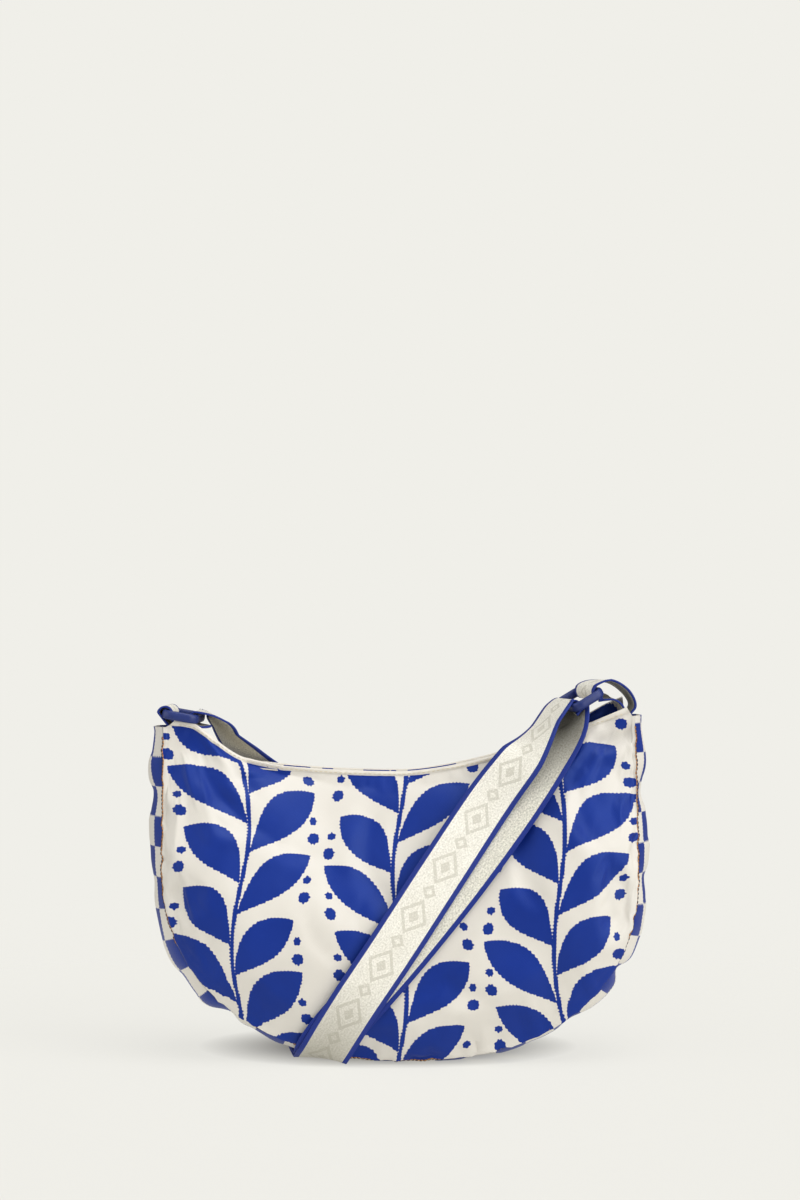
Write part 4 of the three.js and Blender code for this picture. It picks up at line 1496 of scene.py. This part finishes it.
# The slider's plates: outline and holes, thickness, edge radius, height over the teeth, shift along
SLIDER_PLATES = {
    "slider_body": ([SLIDER_WINGS], 1.6, 0.5, 0.9, 0),
    "slider_bridge": ([rectangle(-3, -1.2, 4, 1.2)], 2.6, 0.7, 3.0, 0),
    "slider_pull": ([stadium(-27, -2, 3.2), stadium(-25.2, -18, 1.5)], 1.5, 0.45, 2.6, -1.2),
}


def zip_slider():
    place, up, run = zip_place(ZIP_SLIDER_AT)
    axes = [run, np.cross(up, run), up]
    base = place + up * (ZIP_CHAIN_HEIGHT / 2 + 2 * SEAM_GAP)
    parts = []
    for name, (outlines, thickness, bevel, height, shift) in SLIDER_PLATES.items():
        at = base + up * height + run * shift
        parts.append(plate(outlines, thickness, bevel, at, axes, name, ZIP_BRASS))
    dress(joined("zip_slider_pull", parts), "zip_metal", "zip_slider")


def strap_slide():
    place, face = over_panel(*STRAP_SLIDE_PLACE, SLIDE["stand_off"], BACK, BACK_DENTS)
    before = STRAP_ON_BACK[-1]
    after = STRAP_PAST_SLIDE[0]
    run = np.array([after[0] - before[0], 0, after[1] - before[1]], float)
    run = unit(run - face * run.dot(face))
    axes = [np.cross(run, face), run, face]
    half_width = SLIDE["width"] / 2
    half_length = SLIDE["length"] / 2
    slot = half_width - SLIDE["bar"]
    end = half_length - SLIDE["bar"]
    bar = SLIDE["bar"] / 2
    outlines = [
        rectangle(-half_width, -half_length, half_width, half_length),
        rectangle(-slot, bar, slot, end),
        rectangle(-slot, -end, slot, -bar),
    ]
    piece = plate(outlines, SLIDE["thickness"], 0.7, place, axes, "strap_slide_frame", ENAMEL)
    dress(piece, "ring_enamel", "strap_slide")


# The row of a panel's grid whose normals stand for the hem's
HEM_ROW = 3
# A binding's rows: drop below the panel's edge, lift off its face, and rise above it
BINDING_OVER_EDGE = [(0, 0.4, 0.45), (0, -CLOTH - 0.1, 0.45), (0.5, -CLOTH - 0.3, 0)]
BINDING_TO_EDGE = [(0, 0.3, 0.05), (0, -0.3 * CLOTH, 0.05)]
# Where the hem's stitches lie, from the hem's lower edge and off the cloth
HEM_STITCH_UP = 0.9
HEM_STITCH_LIFT = 0.98
# Columns left free of thread at each end of a hem and of a seam
HEM_ENDS = 3
SEAM_ENDS = 2
# The seam's rows of thread and of the dark cord that stands in for the seam's shadow line: how far out
# past the panel's edge, and how far toward its face
SEAM_STITCH_AT = (0.3, 0.3)
SEAM_SHADOW_CORD_AT = (0.7, -1.9)
THREAD_FLOOR = 1.0


def below_mouth(outer, normal, drop, lift):
    """A line on a panel, a set way down from its top edge and lifted off the cloth."""
    line = []
    for column, away in zip(outer, normal):
        fall = np.concatenate([[0], np.cumsum(np.linalg.norm(np.diff(column, axis=0), axis=1))])
        place = [np.interp(drop, fall, column[:, k]) for k in range(3)]
        line.append(np.array(place) + away[HEM_ROW] * lift)
    return line


def mouth_binding(name, outer, normal, top):
    """A cream strip along a panel's top edge, with the rows that turn over it given."""
    profile = [
        (HEM_DROP, 0.15, 0),
        (0.85 * HEM_DROP, 0.85, 0),
        (0.5 * HEM_DROP, 1.0, 0),
        (0.12 * HEM_DROP, 0.8, 0),
        *top,
        (0.2 * HEM_DROP, -CLOTH / 2, 0),
        (0.9 * HEM_DROP, -CLOTH / 2, 0),
    ]
    up = unit(outer[:, 0] - outer[:, 1])
    rows = [below_mouth(outer, normal, drop, lift) + up * rise for drop, lift, rise in profile]
    points = np.stack(rows, 1).reshape(-1, 3)
    piece = new_piece(name, points, loft_faces(len(profile), len(outer)), [BINDING_CLOTH])
    dress(outwards(piece), "printed_cloth")


def mouth_edges():
    """The binding and the row of stitches along each panel's top edge."""
    hem = stitch_growth("hem_stitch", HEM_THREAD, 2.7, 1.1, 0.6)
    for name, outer, normal, top in (
        ("front", front_outer, front_normal, BINDING_OVER_EDGE),
        ("back", back_outer, back_normal, BINDING_TO_EDGE),
    ):
        mouth_binding(name + "_binding", outer, normal, top)
        path = below_mouth(outer, normal, HEM_DROP - HEM_STITCH_UP, HEM_STITCH_LIFT)
        stitches = hem.grow(name + "_hem_stitches", path[HEM_ENDS:-HEM_ENDS])
        dress(stitches, "printed_cloth")


def seam_stitches():
    """The thread that edges each panel where it meets the gusset, and behind it a dark cord that stands
    in for the seam's shadow line.
    """
    seam = stitch_growth("seam_stitch", SEAM_THREAD, 2.4, 0.3, 0.9)
    shadow_cord = stitch_growth("seam_cord", SEAM_SHADOW_CORD, 3.2, 0.0, 1.7)
    rows = (("_seam_stitches", seam, SEAM_STITCH_AT), ("_seam_shadow_cord", shadow_cord, SEAM_SHADOW_CORD_AT))
    inside = slice(SEAM_ENDS, -SEAM_ENDS)
    for name, outer, side in (("front", front_outer, FRONT), ("back", back_outer, BACK)):
        edge = outer[inside, -1]
        x, z = seam_outward(np.linspace(0, 1, len(outer))[inside]).T
        for kind, growth, (outward, forward) in rows:
            path = edge + np.stack([x * outward, np.full(len(x), side * forward), z * outward], -1)
            path[:, 2] = np.maximum(path[:, 2], THREAD_FLOOR)
            dress(growth.grow(name + kind, path), "printed_cloth")


zip_tape("zip_tape_front", FRONT, FRONT_DENTS)
zip_tape("zip_tape_back", BACK, BACK_DENTS)
zip_chain()
zip_slider()
strap_slide()
mouth_edges()
seam_stitches()


# The stage: a pale floor that fades into the backdrop, soft light and the camera, in metres
BACKDROP = srgb(240, 239, 233)
AMBIENT = 0.38
FLOOR_RADIUS = 1.2
FLOOR_FADE = (0.35, 1.1)
FLOOR_GLOW = 0.81
FLOOR_SHADE = srgb(104, 103, 100)
# The shade under the bag: colour, middle, half widths, and where it begins and ends to fade
CONTACT_SHADE = srgb(128, 126, 122)
CONTACT_CENTRE = (-0.010, 0.040)
CONTACT_HALF = (0.125, 0.085)
CONTACT_FADE = (0.6, 1.2)
# The broad lights: name, the way the light goes, its spread in degrees and its strength
LIGHTS = [
    ("overhead", (-0.2, 0.25, -1), 40, 1.6),
    ("right", (-0.8, 0.56, -0.3), 60, 2.0),
    ("left", (0.66, 0.66, -0.32), 70, 0.6),
    ("left_side", (0.97, 0.12, -0.2), 50, 0.6),
]
# The camera: how far in front of the bag, how high, and how tall a view it takes in there
CAMERA_AWAY = 2.0
CAMERA_HEIGHT = 0.352
CAMERA_VIEW = 0.93
SENSOR_MM = 36.0


def floor_disc():
    finish = Finish("pale_floor", Roughness=0.85, Specular_IOR_Level=0.1, Emission_Strength=FLOOR_GLOW)
    _, x, y, _ = finish.place()
    aside = (x - CONTACT_CENTRE[0]) / CONTACT_HALF[0]
    behind = (y - CONTACT_CENTRE[1]) / CONTACT_HALF[1]
    open_floor = ((aside * aside + behind * behind) ** 0.5).over(*CONTACT_FADE)
    glow = finish.blend(open_floor, CONTACT_SHADE, BACKDROP)
    finish.feed(Base_Color=FLOOR_SHADE, Emission_Color=glow)
    fade = ((x * x + y * y) ** 0.5).over(*FLOOR_FADE)
    clear = finish.node("ShaderNodeBsdfTransparent")
    blended = finish.tree.nodes.new("ShaderNodeMixShader")
    plug(finish.tree, blended.inputs[0], fade)
    finish.tree.links.new(finish.shader.outputs[0], blended.inputs[1])
    plug(finish.tree, blended.inputs[2], clear)
    output = next(n for n in finish.tree.nodes if n.type == "OUTPUT_MATERIAL")
    finish.tree.links.new(blended.outputs[0], output.inputs["Surface"])
    points = [(0, 0, 0)]
    faces = []
    spokes = 64
    radius = FLOOR_RADIUS / MM
    for k in range(spokes):
        angle = TAU * k / spokes
        points.append((radius * math.cos(angle), radius * math.sin(angle), 0))
        faces.append((0, 1 + k, 1 + (k + 1) % spokes))
    floor = new_piece("floor", points, faces, [finish.material])


def backdrop():
    """A plain pale surround, dimmer as light than as seen, so that the lamps shape the bag."""
    world = bpy.data.worlds.new("pale_surround")
    scene.world = world
    world.use_nodes = True
    tree = world.node_tree
    shade = next(n for n in tree.nodes if n.type == "BACKGROUND")
    shade.inputs["Color"].default_value = BACKDROP
    path = tree.nodes.new("ShaderNodeLightPath")
    seen = Value(tree, path.outputs["Is Camera Ray"])
    plug(tree, shade.inputs["Strength"], seen * (1 - AMBIENT) + AMBIENT)


def broad_light(name, toward, spread, strength):
    """A wide, even studio light from one side."""
    light = bpy.data.lights.new(name, "SUN")
    light.angle = math.radians(spread)
    light.energy = strength
    lamp = in_scene(name, light)
    lamp.rotation_euler = Vector(toward).to_track_quat("-Z", "Y").to_euler()


def camera():
    view = bpy.data.cameras.new("photo_view")
    view.sensor_fit = "VERTICAL"
    view.sensor_height = SENSOR_MM
    view.lens = SENSOR_MM * CAMERA_AWAY / CAMERA_VIEW
    eye = in_scene("photo_view", view)
    eye.location = (0, -CAMERA_AWAY, CAMERA_HEIGHT)
    eye.rotation_euler = (math.pi / 2, 0, 0)
    scene.camera = eye


floor_disc()
backdrop()
for light in LIGHTS:
    broad_light(*light)
camera()
